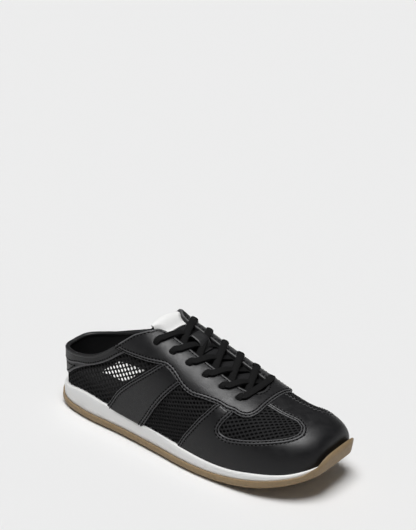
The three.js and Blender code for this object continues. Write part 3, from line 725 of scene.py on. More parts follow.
def tube(points, normals, width, height, sides, squareness):
    """A closed sweep with an oval section: width and height may change along it."""
    points = np.asarray(points, float)
    width = np.broadcast_to(width, len(points))
    height = np.broadcast_to(height, len(points))
    tangent = unit(np.gradient(points, axis=0))
    across = unit(np.cross(tangent, normals))
    up = unit(np.cross(across, tangent))
    angle = np.arange(sides) * 2 * np.pi / sides
    c = np.sign(np.cos(angle)) * np.abs(np.cos(angle)) ** (2 / squareness)
    s = np.sign(np.sin(angle)) * np.abs(np.sin(angle)) ** (2 / squareness)
    ring = (points[:, None, :] + across[:, None, :] * (width[:, None] / 2 * c)[..., None]
            + up[:, None, :] * (height[:, None] / 2 * s)[..., None])
    vertices = ring.reshape(-1, 3)
    faces = []
    for i in range(len(points) - 1):
        for k in range(sides):
            n = (k + 1) % sides
            faces.append([i * sides + k, (i + 1) * sides + k, (i + 1) * sides + n, i * sides + n])
    start, end = len(vertices), len(vertices) + 1
    vertices = np.vstack([vertices, points[:1], points[-1:]])
    last = (len(points) - 1) * sides
    for k in range(sides):
        n = (k + 1) % sides
        faces.append([start, k, n])
        faces.append([end, last + n, last + k])
    steps = np.concatenate([[0], np.cumsum(np.linalg.norm(np.diff(points, axis=0), axis=1))])
    along = np.concatenate([np.repeat(steps, sides), steps[:1], steps[-1:]])
    around = np.concatenate([np.tile(c, len(points)), [0, 0]])
    return vertices, faces, {"along": along, "around": around}


def joined(parts):
    """Several meshes as one."""
    points = []
    faces = []
    fields = {}
    count = 0
    for vertices, part_faces, part_fields in parts:
        points.append(vertices)
        faces += [[int(v) + count for v in face] for face in part_faces]
        for key, values in part_fields.items():
            fields.setdefault(key, []).append(values)
        count += len(vertices)
    return np.vstack(points), faces, {key: np.concatenate(v) for key, v in fields.items()}


# Shader graphs. A Mix node's sockets when it mixes colours
MIX_FACTOR = 0
MIX_FIRST = 6
MIX_SECOND = 7
MIX_RESULT = 2

# Octaves of a noise
BROAD_DETAIL = 2.0
FINE_DETAIL = 3.0


class Graph:
    """Adds nodes to a tree and links values to their sockets."""

    def __init__(self, tree):
        self.tree = tree

    def set(self, socket, value):
        if isinstance(value, bpy.types.NodeSocket):
            self.tree.links.new(value, socket)
        elif value is not None:
            socket.default_value = value

    def node(self, kind, inputs=None, **settings):
        node = self.tree.nodes.new(kind)
        for name, value in settings.items():
            setattr(node, name, value)
        for name, value in (inputs or {}).items():
            self.set(node.inputs[name], value)
        return node

    def math(self, operation, a, b=None):
        node = self.node("ShaderNodeMath", operation=operation)
        for socket, value in zip(node.inputs, (a, b)):
            self.set(socket, value)
        return node.outputs[0]

    def mix(self, factor, a, b):
        node = self.node("ShaderNodeMix", data_type="RGBA")
        self.set(node.inputs[MIX_FACTOR], factor)
        self.set(node.inputs[MIX_FIRST], a)
        self.set(node.inputs[MIX_SECOND], b)
        return node.outputs[MIX_RESULT]

    def spread(self, value, low, high, to_low=0.0, to_high=1.0):
        node = self.node("ShaderNodeMapRange", clamp=True)
        for name, number in (("Value", value), ("From Min", low), ("From Max", high),
                             ("To Min", to_low), ("To Max", to_high)):
            self.set(node.inputs[name], number)
        return node.outputs[0]

    def noise(self, vector, scale, detail=BROAD_DETAIL, contrast=0.5):
        node = self.node("ShaderNodeTexNoise", {
            "Vector": vector, "Scale": scale, "Detail": detail, "Roughness": contrast})
        return node.outputs["Fac"]

    def cells(self, vector, scale, feature="F1"):
        node = self.node("ShaderNodeTexVoronoi", {"Vector": vector, "Scale": scale},
                         feature=feature)
        return node.outputs["Distance"]

    def weighted(self, *terms):
        """The sum of some values, each times its own weight."""
        total = None
        for value, weight in terms:
            part = self.math("MULTIPLY", value, weight)
            total = part if total is None else self.math("ADD", total, part)
        return total

    def hill(self, value, centre, width):
        """1 at the centre, falling to 0 over the width on both sides."""
        away = self.math("ABSOLUTE", self.math("SUBTRACT", value, centre))
        return self.node("ShaderNodeMapRange", {
            "Value": away, "From Min": 0.0, "From Max": width, "To Min": 1.0, "To Max": 0.0,
        }, interpolation_type="SMOOTHSTEP").outputs[0]


def shader_group(name, inputs, outputs, build):
    tree = bpy.data.node_groups.new(name, "ShaderNodeTree")
    for socket, kind, value in inputs:
        made = tree.interface.new_socket(socket, in_out="INPUT", socket_type=kind)
        if value is not None:
            made.default_value = value
    for socket, kind in outputs:
        tree.interface.new_socket(socket, in_out="OUTPUT", socket_type=kind)
    graph = Graph(tree)
    given = tree.nodes.new("NodeGroupInput")
    made = build(graph, {socket: given.outputs[socket] for socket, _, _ in inputs})
    out = tree.nodes.new("NodeGroupOutput")
    for socket, value in made.items():
        graph.set(out.inputs[socket], value)
    return tree


FLOAT = "NodeSocketFloat"
VECTOR = "NodeSocketVector"


# Hide grain: scales are multiples of one over the grain's size, weights make up its height.
FINE_SCALE = 2.6
BROAD_SCALE = 0.18
CREASE_WIDTH = 0.14
CREASE_WEIGHT = 0.6
FINE_WEIGHT = 0.5
PEBBLE_WEIGHT = 0.25
PLAIN_GRAIN = 0.001


def build_grain(g, given):
    size = g.math("DIVIDE", 1.0, given["Size"])
    pebbles = g.cells(given["Vector"], size)
    creases = g.cells(given["Vector"], size, "DISTANCE_TO_EDGE")
    fine = g.noise(given["Vector"], g.math("MULTIPLY", size, FINE_SCALE), FINE_DETAIL)
    broad = g.noise(given["Vector"], g.math("MULTIPLY", size, BROAD_SCALE))
    crease = g.spread(creases, 0.0, CREASE_WIDTH)
    height = g.weighted((crease, CREASE_WEIGHT), (fine, FINE_WEIGHT))
    height = g.math("SUBTRACT", height, g.math("MULTIPLY", pebbles, PEBBLE_WEIGHT))
    return {"Height": height, "Crease": crease, "Broad": broad}


grain_group = shader_group("hide_grain", [
    ("Vector", VECTOR, None), ("Size", FLOAT, PLAIN_GRAIN),
], [("Height", FLOAT), ("Crease", FLOAT), ("Broad", FLOAT)], build_grain)

# Seams: rows of stitches and widths in millimetres from the panel's edge.
FIRST_ROW = 1.3
SECOND_ROW = 3.7
FOLD_ROW = 2.2
ROW_GROOVE = 0.55
FOLD_GROOVE = 0.5
RIDGE_WIDTH = 0.75
RIDGE_HEIGHT = 0.55
RIDGE_LIGHT = 0.8
SEAM_LIP = (0.35, 0.6)
FOLD_LIP = (0.6, 1.1)
NOT_SEWN = 100.0


def build_seam(g, given):
    first = g.hill(given["Seam"], FIRST_ROW, ROW_GROOVE)
    second = g.hill(given["Seam"], SECOND_ROW, ROW_GROOVE)
    single = g.hill(given["Fold"], FOLD_ROW, FOLD_GROOVE)
    groove = g.math("MAXIMUM", g.math("MAXIMUM", first, second), single)
    ridge = g.hill(given["Seam"], (FIRST_ROW + SECOND_ROW) / 2, RIDGE_WIDTH)
    lip = g.math("MAXIMUM", g.hill(given["Seam"], *SEAM_LIP), g.hill(given["Fold"], *FOLD_LIP))
    height = g.math("SUBTRACT", g.math("MULTIPLY", ridge, RIDGE_HEIGHT), groove)
    # Light marks a painted highlight, partly a worn tone: on the ridge between the two rows and on a
    # lip near the edge
    light = g.math("MAXIMUM", g.math("MULTIPLY", ridge, RIDGE_LIGHT), lip)
    return {"Height": height, "Groove": groove, "Light": light}


seam_group = shader_group("seam_relief", [
    ("Seam", FLOAT, NOT_SEWN), ("Fold", FLOAT, NOT_SEWN),
], [("Height", FLOAT), ("Groove", FLOAT), ("Light", FLOAT)], build_seam)


def new_material(name):
    material = bpy.data.materials.new(name)
    material.use_nodes = True
    material.node_tree.nodes.clear()
    graph = Graph(material.node_tree)
    shader = graph.node("ShaderNodeBsdfPrincipled")
    out = graph.node("ShaderNodeOutputMaterial")
    graph.tree.links.new(shader.outputs[0], out.inputs["Surface"])
    return material, graph, shader


def object_place(g):
    return g.node("ShaderNodeTexCoord").outputs["Object"]


def read_attribute(g, name):
    return g.node("ShaderNodeAttribute", attribute_name=name).outputs["Fac"]


def bump(g, height, depth, normal=None):
    node = g.node("ShaderNodeBump", {"Height": height, "Distance": depth, "Strength": 1.0})
    if normal is not None:
        g.set(node.inputs["Normal"], normal)
    return node.outputs[0]


def rgb(*values):
    return (*values, 1.0)


BLACK = rgb(0, 0, 0)
WHITE = rgb(1.0, 1.0, 1.0)


def set_finish(g, shader, colour, roughness, normal=None, shine=None):
    """Sets what is given on a material's shader, and leaves the rest as it is."""
    for name, value in (("Base Color", colour), ("Roughness", roughness),
                        ("Specular IOR Level", shine), ("Normal", normal)):
        g.set(shader.inputs[name], value)


LEATHER_SHINE = 0.25
CLOTH_SHINE = 0.12
LACE_SHINE = 0.1
THREAD_SHINE = 0.05
SATIN_SHINE = 0.175

# The middle part of a noise, which is spread over a finish's whole range
NOISE_LOW = 0.3
NOISE_HIGH = 0.7

# Leather: the grain's size and relief in metres, the roughness under and over its mean, and how
# the seams stand out, with a painted highlight, partly a worn tone, on their ridges and edges and
# painted shade in their grooves
GRAIN_SIZE = 0.0009
GRAIN_DEPTH = 0.00005
SMOOTHER = 0.06
ROUGHER = 0.07
SEAM_DEPTH = 0.00035
SHEEN_AND_WEAR_GAIN = 5
SHEEN_AND_WEAR_LIFT = 0.05
SHEEN_AND_WEAR_SHARE = 0.75
GROOVE_PAINTED_SHADE = 0.12
GROOVE_ROUGHNESS = 0.2


def leather_material(name, dark, light, roughness, seams=True, shine=LEATHER_SHINE):
    material, g, shader = new_material(name)
    hide = g.node("ShaderNodeGroup", node_tree=grain_group)
    g.set(hide.inputs["Vector"], object_place(g))
    g.set(hide.inputs["Size"], GRAIN_SIZE)
    normal = bump(g, hide.outputs["Height"], GRAIN_DEPTH)
    colour = g.mix(hide.outputs["Broad"], rgb(*dark), rgb(*light))
    rough = g.spread(hide.outputs["Broad"], NOISE_LOW, NOISE_HIGH,
                     roughness - SMOOTHER, roughness + ROUGHER)
    if seams:
        seam = g.node("ShaderNodeGroup", node_tree=seam_group)
        g.set(seam.inputs["Seam"], read_attribute(g, "seam"))
        g.set(seam.inputs["Fold"], read_attribute(g, "fold"))
        normal = bump(g, seam.outputs["Height"], SEAM_DEPTH, normal)
        # Painted highlight, partly a worn tone: lighter colour on the ridge between the stitch rows and
        # near the panel's edge
        sheen_and_wear_colour = tuple(min(1.0, SHEEN_AND_WEAR_GAIN * value + SHEEN_AND_WEAR_LIFT) for value in light)
        sheen_and_wear_share = g.math("MULTIPLY", seam.outputs["Light"], SHEEN_AND_WEAR_SHARE)
        colour = g.mix(sheen_and_wear_share, colour, rgb(*sheen_and_wear_colour))
        # Painted shade: the colour is darkened towards black in the stitch grooves
        groove_painted_shade = g.math("MULTIPLY", seam.outputs["Groove"], GROOVE_PAINTED_SHADE)
        colour = g.mix(groove_painted_shade, colour, BLACK)
        rough = g.math("ADD", rough, g.math("MULTIPLY", seam.outputs["Groove"], GROOVE_ROUGHNESS))
    set_finish(g, shader, colour, rough, normal, shine)
    return material


# Woven cloth: noise scales are per metre
FUZZ_SCALE = 900.0
CLOTH_BROAD_SCALE = 60.0
WEAVE_WEIGHT = 0.5
CLOTH_ROUGHNESS = 0.85


def cloth_material(name, dark, light, thread, depth):
    """Plain woven cloth: threads across each other, of one width in metres."""
    material, g, shader = new_material(name)
    place = object_place(g)
    parts = g.node("ShaderNodeSeparateXYZ", {"Vector": place})
    turns = math.pi / thread
    warp = g.math("SINE", g.math("MULTIPLY", parts.outputs[0], turns))
    sway = g.math("ADD", parts.outputs[1], parts.outputs[2])
    weft = g.math("SINE", g.math("MULTIPLY", sway, turns))
    weave = g.math("MULTIPLY", warp, weft)
    fuzz = g.noise(place, FUZZ_SCALE, FINE_DETAIL)
    broad = g.noise(place, CLOTH_BROAD_SCALE)
    height = g.math("ADD", g.math("MULTIPLY", weave, WEAVE_WEIGHT), fuzz)
    shade = g.math("MULTIPLY", g.math("ADD", fuzz, broad), 0.5)
    colour = g.mix(shade, rgb(*dark), rgb(*light))
    set_finish(g, shader, colour, CLOTH_ROUGHNESS, bump(g, height, depth), CLOTH_SHINE)
    return material


# Braid: slant and pitch are millimetres along the lace, the fuzz's scale is per metre and the
# depth is in metres
BRAID_SLANT = 1.6
BRAID_PITCH = 1.3
BRAID_RIBS = 16.0
CHEVRON_WEIGHT = 0.5
RIB_WEIGHT = 0.3
BRAID_FUZZ_SCALE = 1500.0
BRAID_FUZZ_WEIGHT = 0.6
BRAID_LOW = -0.4
BRAID_HIGH = 1.1
BRAID_ROUGHNESS = 0.8
BRAID_DEPTH = 0.00016
BRAID_DARK = rgb(0.001, 0.001, 0.001)
BRAID_LIGHT = rgb(0.006, 0.006, 0.0065)


def braid_material():
    """Flat braid: chevrons along the lace from its own length and width."""
    material, g, shader = new_material("black_braid")
    along = read_attribute(g, "along")
    around = read_attribute(g, "around")
    slant = g.math("MULTIPLY", g.math("ABSOLUTE", around), BRAID_SLANT)
    turns = g.math("MULTIPLY", g.math("ADD", along, slant), 2 * math.pi / BRAID_PITCH)
    chevron = g.math("SINE", turns)
    rib = g.math("SINE", g.math("MULTIPLY", around, BRAID_RIBS))
    fuzz = g.noise(object_place(g), BRAID_FUZZ_SCALE)
    height = g.weighted((chevron, CHEVRON_WEIGHT), (rib, RIB_WEIGHT), (fuzz, BRAID_FUZZ_WEIGHT))
    # The colour follows the relief: painted shade in the braid's hollows and painted highlight on its
    # raised chevrons and ribs, with the fuzz adding random tone
    colour = g.mix(g.spread(height, BRAID_LOW, BRAID_HIGH), BRAID_DARK, BRAID_LIGHT)
    set_finish(g, shader, colour, BRAID_ROUGHNESS, bump(g, height, BRAID_DEPTH), LACE_SHINE)
    return material


# Gum rubber: a warm tan with fine dark specks
SPECK_SCALE = 420.0
SPECK_CONTRAST = 0.7
RUBBER_BROAD_SCALE = 22.0
SPECK_LOW = 0.45
SPECK_HIGH = 0.7
SPECK_SHARE = 0.35
RUBBER_SMOOTH = 0.46
RUBBER_ROUGH = 0.62
RUBBER_DEPTH = 0.00012
GUM_DARK = rgb(0.235, 0.155, 0.072)
GUM_LIGHT = rgb(0.300, 0.208, 0.106)
GUM_SPECK = rgb(0.16, 0.125, 0.075)


def rubber_material():
    material, g, shader = new_material("gum_rubber")
    place = object_place(g)
    speck = g.noise(place, SPECK_SCALE, FINE_DETAIL, SPECK_CONTRAST)
    broad = g.noise(place, RUBBER_BROAD_SCALE)
    colour = g.mix(broad, GUM_DARK, GUM_LIGHT)
    dots = g.math("MULTIPLY", g.spread(speck, SPECK_LOW, SPECK_HIGH), SPECK_SHARE)
    rough = g.spread(speck, NOISE_LOW, NOISE_HIGH, RUBBER_SMOOTH, RUBBER_ROUGH)
    set_finish(g, shader, g.mix(dots, colour, GUM_SPECK), rough, bump(g, speck, RUBBER_DEPTH))
    return material


# Foam: a soft white with fine pores
PORE_SCALE = 650.0
PORE_CONTRAST = 0.6
FOAM_BROAD_SCALE = 14.0
FOAM_ROUGHNESS = 0.6
FOAM_DEPTH = 0.00006
FOAM_DARK = rgb(0.84, 0.84, 0.83)
FOAM_LIGHT = rgb(0.90, 0.90, 0.89)


def foam_material():
    material, g, shader = new_material("white_foam")
    place = object_place(g)
    pores = g.noise(place, PORE_SCALE, FINE_DETAIL, PORE_CONTRAST)
    broad = g.noise(place, FOAM_BROAD_SCALE)
    colour = g.mix(broad, FOAM_DARK, FOAM_LIGHT)
    set_finish(g, shader, colour, FOAM_ROUGHNESS, bump(g, pores, FOAM_DEPTH))
    return material


TWIST_SCALE = 2200.0
THREAD_ROUGHNESS = 0.9
THREAD_SHADE = 0.5


def plain_thread(name, colour):
    material, g, shader = new_material(name)
    twist = g.noise(object_place(g), TWIST_SCALE)
    dark = rgb(*[THREAD_SHADE * c for c in colour])
    set_finish(g, shader, g.mix(twist, dark, rgb(*colour)), THREAD_ROUGHNESS, shine=THREAD_SHINE)
    return material


# Each leather has a dark and a light colour and a mean roughness.
panel_leather = leather_material(
    "black_leather", dark=(0.006, 0.006, 0.007), light=(0.009, 0.009, 0.010), roughness=0.38)
satin_leather = leather_material(
    "satin_leather", dark=(0.011, 0.011, 0.012), light=(0.018, 0.018, 0.019), roughness=0.36,
    shine=SATIN_SHINE)
plain_leather = leather_material(
    "edge_leather", dark=(0.014, 0.014, 0.015), light=(0.022, 0.022, 0.023), roughness=0.42,
    seams=False)

# Each cloth has a dark and a light colour, and a thread width and a relief in metres.
net_cloth = cloth_material(
    "coarse_mesh", dark=(0.007, 0.007, 0.007), light=(0.021, 0.021, 0.022), thread=0.0005,
    depth=0.00015)
lining_cloth = cloth_material(
    "lining", dark=(0.006, 0.006, 0.007), light=(0.014, 0.014, 0.015), thread=0.0007, depth=0.00010)
tongue_cloth = cloth_material(
    "tongue_cloth", dark=(0.006, 0.006, 0.007), light=(0.018, 0.018, 0.019), thread=0.0011,
    depth=0.00025)
label_cloth = cloth_material(
    "white_label", dark=(0.85, 0.85, 0.84), light=(0.92, 0.92, 0.91), thread=0.0004, depth=0.00004)
insole_cloth = cloth_material(
    "insole_cloth", dark=(0.010, 0.010, 0.011), light=(0.022, 0.022, 0.023), thread=0.0008,
    depth=0.00012)
lace_braid = braid_material()
gum_rubber = rubber_material()
white_foam = foam_material()
black_thread = plain_thread("black_thread", (0.003, 0.003, 0.003))


# Stitches: one short thread hump at each step along a line, by Geometry Nodes
STITCH_SIZES = {"Pitch": 0.0033, "Length": 0.0021, "Width": 0.0012, "Height": 0.0007}
BEAD_SEGMENTS = 8
BEAD_RINGS = 5
BEAD_RADIUS = 0.5


def stitch_tree():
    tree = bpy.data.node_groups.new("stitch_rows", "GeometryNodeTree")
    face = tree.interface
    face.new_socket("Geometry", in_out="INPUT", socket_type="NodeSocketGeometry")
    sockets = {}
    for name, value in STITCH_SIZES.items():
        socket = face.new_socket(name, in_out="INPUT", socket_type=FLOAT)
        socket.default_value = value
        sockets[name] = socket.identifier
    socket = face.new_socket("Thread", in_out="INPUT", socket_type="NodeSocketMaterial")
    sockets["Thread"] = socket.identifier
    face.new_socket("Geometry", in_out="OUTPUT", socket_type="NodeSocketGeometry")
    g = Graph(tree)
    given = tree.nodes.new("NodeGroupInput").outputs
    curve = g.node("GeometryNodeMeshToCurve", {"Mesh": given["Geometry"]})
    even = g.node("GeometryNodeResampleCurve", {"Curve": curve.outputs[0], "Length": given["Pitch"]},
                  mode="LENGTH")
    tangent = g.node("GeometryNodeInputTangent")
    up = g.node("GeometryNodeInputNamedAttribute", {"Name": "up"}, data_type="FLOAT_VECTOR")
    first = g.node("FunctionNodeAlignRotationToVector", {"Vector": tangent.outputs[0]}, axis="X")
    turn = g.node("FunctionNodeAlignRotationToVector", {
        "Rotation": first.outputs[0], "Vector": up.outputs[0]}, axis="Z", pivot_axis="X")
    size = g.node("ShaderNodeCombineXYZ", {
        "X": given["Length"], "Y": given["Width"], "Z": given["Height"]})
    bead = g.node("GeometryNodeMeshUVSphere", {
        "Segments": BEAD_SEGMENTS, "Rings": BEAD_RINGS, "Radius": BEAD_RADIUS})
    placed = g.node("GeometryNodeInstanceOnPoints", {
        "Points": even.outputs[0], "Instance": bead.outputs[0], "Rotation": turn.outputs[0],
        "Scale": size.outputs[0]})
    real = g.node("GeometryNodeRealizeInstances", {"Geometry": placed.outputs[0]})
    smooth_faces = g.node("GeometryNodeSetShadeSmooth", {"Geometry": real.outputs[0]})
    finished = g.node("GeometryNodeSetMaterial", {
        "Geometry": smooth_faces.outputs[0], "Material": given["Thread"]})
    out = tree.nodes.new("NodeGroupOutput")
    tree.links.new(finished.outputs[0], out.inputs[0])
    return tree, sockets


stitch_rows, stitch_sockets = stitch_tree()


def make_stitches(name, lines):
    """Thread along lines of points with normals."""
    points = []
    edges = []
    ups = []
    for line, normals in lines:
        start = len(points)
        points += to_row(line).tolist()
        ups += normals.tolist()
        edges += [[start + i, start + i + 1] for i in range(len(line) - 1)]
    mesh = bpy.data.meshes.new(name + "_lines")
    mesh.from_pydata(points, edges, [])
    attribute = mesh.attributes.new("up", "FLOAT_VECTOR", "POINT")
    attribute.data.foreach_set("vector", np.array(ups, np.float32).ravel())
    guide = bpy.data.objects.new(name + "_lines", mesh)
    bpy.context.collection.objects.link(guide)
    modifier = guide.modifiers.new("stitches", "NODES")
    modifier.node_group = stitch_rows
    modifier[stitch_sockets["Thread"]] = black_thread
    ready = guide.evaluated_get(bpy.context.evaluated_depsgraph_get())
    made = bpy.data.meshes.new_from_object(ready)
    made.name = name
    bpy.data.objects.remove(guide)
    piece = bpy.data.objects.new(name, made)
    bpy.context.collection.objects.link(piece)
    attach(piece, "root")
    return piece


def seam_lines(sheet, field, levels, height):
    """Rows at set distances from a sheet's seam, lifted onto its surface."""
    lines = []
    for level in levels:
        for points, normals in level_lines(sheet, sheet.fields[field], level):
            lines.append((points + normals * height, normals))
    return lines


# The outer form with the fields that the panels are cut from. A blend rounds off a corner
# between two lines, in millimetres.
STAY_BLEND = 10.0
TOPLINE_BLEND = 6.0
WINDOW_BLEND = 8.0
outer = form_sheet(0)
is_lateral = outer.points[:, 1] < outline.centre(along_at(outer.points[:, 0])) * BALL_WIDTH
collar_gap = -np.where(is_lateral, field_from(outer, collar_polygon(collar_line), SIDE_VIEW),
                       field_from(outer, collar_polygon(medial_collar_line), SIDE_VIEW))
throat_gap = -field_from(outer, throat_polygon(), PLAN_VIEW)
above_polygon, behind_polygon = eyestay_polygons()
stay_edge = soft_least(field_from(outer, above_polygon, SIDE_VIEW),
                       field_from(outer, behind_polygon, PLAN_VIEW), STAY_BLEND)
topline_gap = soft_least(collar_gap, throat_gap, TOPLINE_BLEND)


def eyelet_places(grow):
    rows = TOP_ROW + np.arange(EYELET_ROWS) * ROW_STEP
    places = []
    for side in (LATERAL, MEDIAL):
        x = x_at(rows)
        y = throat_centre(rows) + side * lacing.gap(rows) * BALL_WIDTH
        places.append((surface_at(x, y, grow), plan_normal(x, y, grow)))
    return places


EYELET_REACH = 12
EYELET_HOLE = EYELET_RADIUS * 0.8
eyelet_gap = np.full(len(outer.points), FAR_AWAY)
for places, directions in eyelet_places(0):
    for place, direction in zip(places, directions):
        gap = outer.points - place
        gap = gap - (gap @ direction)[:, None] * direction
        near = np.linalg.norm(outer.points - place, axis=1) < EYELET_REACH
        nearest = np.minimum(eyelet_gap, np.linalg.norm(gap, axis=1))
        eyelet_gap = np.where(near, nearest, eyelet_gap)
eyelet_gap = eyelet_gap - EYELET_HOLE


def window_field(side):
    sill = field_from(outer, smooth(side_line(window_sill)), SIDE_VIEW)

    def place(along, out):
        ridge = section.ridge(min(along, WINDOW_CORNER)) * BALL_WIDTH
        return [x_at(along), float(ridge) + side * (STRIP_HALF_WIDTH + out)]

    strip = field_from(outer, [
        place(WINDOW_REAR, 0), place(WINDOW_CORNER, 0),
        place((WINDOW_CORNER + WINDOW_TIP) / 2, CORNER_RADIUS / 3),
        place(WINDOW_TIP, CORNER_RADIUS), place(WINDOW_TIP, BALL_WIDTH),
        place(WINDOW_REAR, BALL_WIDTH),
    ], PLAN_VIEW)
    own_side = is_lateral if side == LATERAL else ~is_lateral
    return np.where(own_side, soft_least(sill, strip, WINDOW_BLEND), -NO_SEAM)


windows = np.maximum(window_field(LATERAL), window_field(MEDIAL))


def block_field(low, high):
    return field_from(outer, np.vstack([low, high]), SIDE_VIEW)


band_edge_line = smooth(side_line(collar_band_edge))
collar_band_area = block_field(band_edge_line, [[band_edge_line[-1][0], SKY], [-SOLE_LENGTH, SKY],
                                                [-SOLE_LENGTH, band_edge_line[0][1]]])
patch_low = smooth(side_line(heel_patch_edge))
patch_high = band_edge_line[band_edge_line[:, 0] < x_at(PATCH_END)][::-1]
heel_patch_area = block_field(patch_low, patch_high + [0, CLEARANCE])
band_rear_line = smooth(side_line(band_rear_edge))
band_area = block_field(band_rear_line, smooth(side_line(band_front_edge))[::-1])
cap_line = smooth(side_line(toe_cap_edge))
toe_cap_area = block_field(cap_line, [[SOLE_LENGTH, SKY], [SOLE_LENGTH, -SKY],
                                      [cap_line[0][0], -SKY]])

OVERLAP = 3.0
UNDER_FROM = -0.4
UNDER_TO = 1.2
UNDER_DEPTH = 1.1
under_stay = soft_ramp(stay_edge, UNDER_FROM, UNDER_TO) * UNDER_DEPTH


def cut_panel(area, seam, fold, tucks_under=True):
    outer.fields = {"seam": seam, "fold": fold, "under": under_stay, "stay": stay_edge}
    keep = np.minimum(area, topline_gap)
    if tucks_under:
        keep = np.minimum(keep, OVERLAP - stay_edge)
    return clip(outer, keep)


EDGE_SINK = 0.3
THREAD_SINK = 0.12


def panel_piece(name, sheet, material, nodes, raise_by=0.0):
    under = sheet.fields["under"] if name != "eyestay_leather" else None
    points, faces, fields = leather_shell(sheet, LEATHER, raise_by, sink=EDGE_SINK, under=under)
    kept = {key: fields[key] for key in ("seam", "fold")}
    return make_piece(name, points, faces, material, nodes, kept)


# How far a panel stands off the form
STAY_RAISE = 0.6
COLLAR_RAISE = 0.3
PATCH_RAISE = -0.25
DOUBLE_ROW = ("seam", (FIRST_ROW, SECOND_ROW))
SINGLE_ROW = ("fold", (FOLD_ROW,))


def stitched_panel(node, area, rows, seam, fold, raise_by=0.0):
    """A leather panel in the place of one node, with its stitches up to the eyestay over it."""
    sheet = cut_panel(area, seam, fold)
    panel_piece(f"{node}_leather", sheet, panel_leather, [node], raise_by)
    open_part = clip(sheet, -sheet.fields["stay"])
    make_stitches(f"{node}_stitches", seam_lines(open_part, *rows, raise_by - THREAD_SINK))


no_seam = np.full(len(outer.points), NO_SEAM)
stay_sheet = cut_panel(np.minimum(stay_edge, eyelet_gap), stay_edge, topline_gap, tucks_under=False)
panel_piece("eyestay_leather", stay_sheet, satin_leather, ["eyestay"], STAY_RAISE)
make_stitches("eyestay_stitches",
              seam_lines(stay_sheet, *DOUBLE_ROW, STAY_RAISE - THREAD_SINK)
              + seam_lines(stay_sheet, *SINGLE_ROW, STAY_RAISE - THREAD_SINK))

cap_seam = np.minimum(toe_cap_area, -windows)
stitched_panel("toe_cap", cap_seam, DOUBLE_ROW, cap_seam, no_seam)
for side, word in ((LATERAL, "lateral"), (MEDIAL, "medial")):
    own_band = np.where(is_lateral == (side == LATERAL), band_area, -NO_SEAM)
    stitched_panel(f"side_band_{word}", own_band, DOUBLE_ROW, own_band, no_seam)
stitched_panel("collar_band", collar_band_area, SINGLE_ROW, no_seam, collar_band_area, COLLAR_RAISE)
patch_area = np.minimum(heel_patch_area, OVERLAP - collar_band_area)
stitched_panel("heel_patch", patch_area, SINGLE_ROW, no_seam, heel_patch_area, PATCH_RAISE)

# Lining: everywhere but behind the lateral mesh at the heel, which is see-through
covered = np.maximum.reduce([
    stay_edge, cap_seam, band_area, collar_band_area, heel_patch_area])
ahead = closed_distance(outer.points[:, SIDE_VIEW], np.vstack([
    band_rear_line, [[SOLE_LENGTH, SKY], [SOLE_LENGTH, -SKY],
                     [x_at(band_rear_edge[0][0]), -SKY]]]))[0]
LINING_HEM = 5
LINING_LAP = 2.2
LINING_INSET = 1.2
LINING_THICKNESS = 0.8
LINING_ROUND = 0.1
lined = np.where(is_lateral, ahead, NO_SEAM)
foot_gap = outer.points[:, 2] - feather_height(along_at(outer.points[:, 0]))
lining_area = np.maximum.reduce([covered + LINING_LAP, lined, LINING_HEM - foot_gap])
inner = form_sheet(-MESH_DEPTH - LINING_INSET)
lining_sheet = clip(inner, np.minimum(lining_area, topline_gap))
points, faces, _ = leather_shell(lining_sheet, LINING_THICKNESS, round_over=LINING_ROUND)
make_piece("lining", points, faces, lining_cloth, [])


# The rolled edge round the collar and the throat
RIM_WIDTH = 2.8
RIM_THICKNESS = 3.7
RIM_DEPTH = 1.3
RIM_PROUD = 0.3
RIM_STEP = 1.0
RIM_PASSES = 4
RIM_SIDES = 14
RIM_SQUARENESS = 2.4
middle_form = form_sheet(-RIM_DEPTH)
rim_line, rim_normals = max(level_lines(middle_form, topline_gap, RIM_WIDTH / 2 - RIM_PROUD),
                            key=lambda line: len(line[0]))


def evened(points, step):
    """Points at even steps along a line."""
    gaps = np.linalg.norm(np.diff(points, axis=0), axis=1)
    arc = np.concatenate([[0], np.cumsum(gaps)])
    at = np.linspace(0, arc[-1], max(int(arc[-1] / step), 3) + 1)
    return np.stack([np.interp(at, arc, points[:, i]) for i in range(points.shape[1])], -1)


def relaxed(values, passes):
    """A closed line smoothed by its neighbours."""
    for _ in range(passes):
        body = values[:-1]
        body = (np.roll(body, 1, axis=0) + 2 * body + np.roll(body, -1, axis=0)) / 4
        values = np.vstack([body, body[:1]])
    return values


rim_path = relaxed(evened(np.hstack([rim_line, rim_normals]), RIM_STEP), RIM_PASSES)
vertices, faces, fields = tube(rim_path[:, :3], rim_path[:, 3:], RIM_WIDTH, RIM_THICKNESS,
                               RIM_SIDES, RIM_SQUARENESS)
make_piece("topline_edge", vertices, faces, plain_leather, [])


# Coarse mesh: round holes on a slanted lattice that follows the form. Each cell has two edges,
# as lengths along the shoe and up it.
REAR_CELL = ((3.74, 2.13), (2.02, -3.02))
FRONT_CELL = ((2.97, 1.05), (2.36, -2.62))
HOLE_SHARE = 0.36
BAR_CROWN = 0.25
NET_THICKNESS = 0.45
NET_OVERLAP = 2.6
NET_SPLIT = 6
NET_END_GAP = 1
NET_RIM_GAP = 1.5
NET_LEVEL = 0.2
TABLE_ALONG = 500
TABLE_GIRTH = 60
outer_tree = kdtree.KDTree(len(outer.points))
for i, point in enumerate(outer.points):
    outer_tree.insert(point, i)
outer_tree.balance()


def nearest_outer(points):
    return np.array([outer_tree.find(point)[1] for point in points])


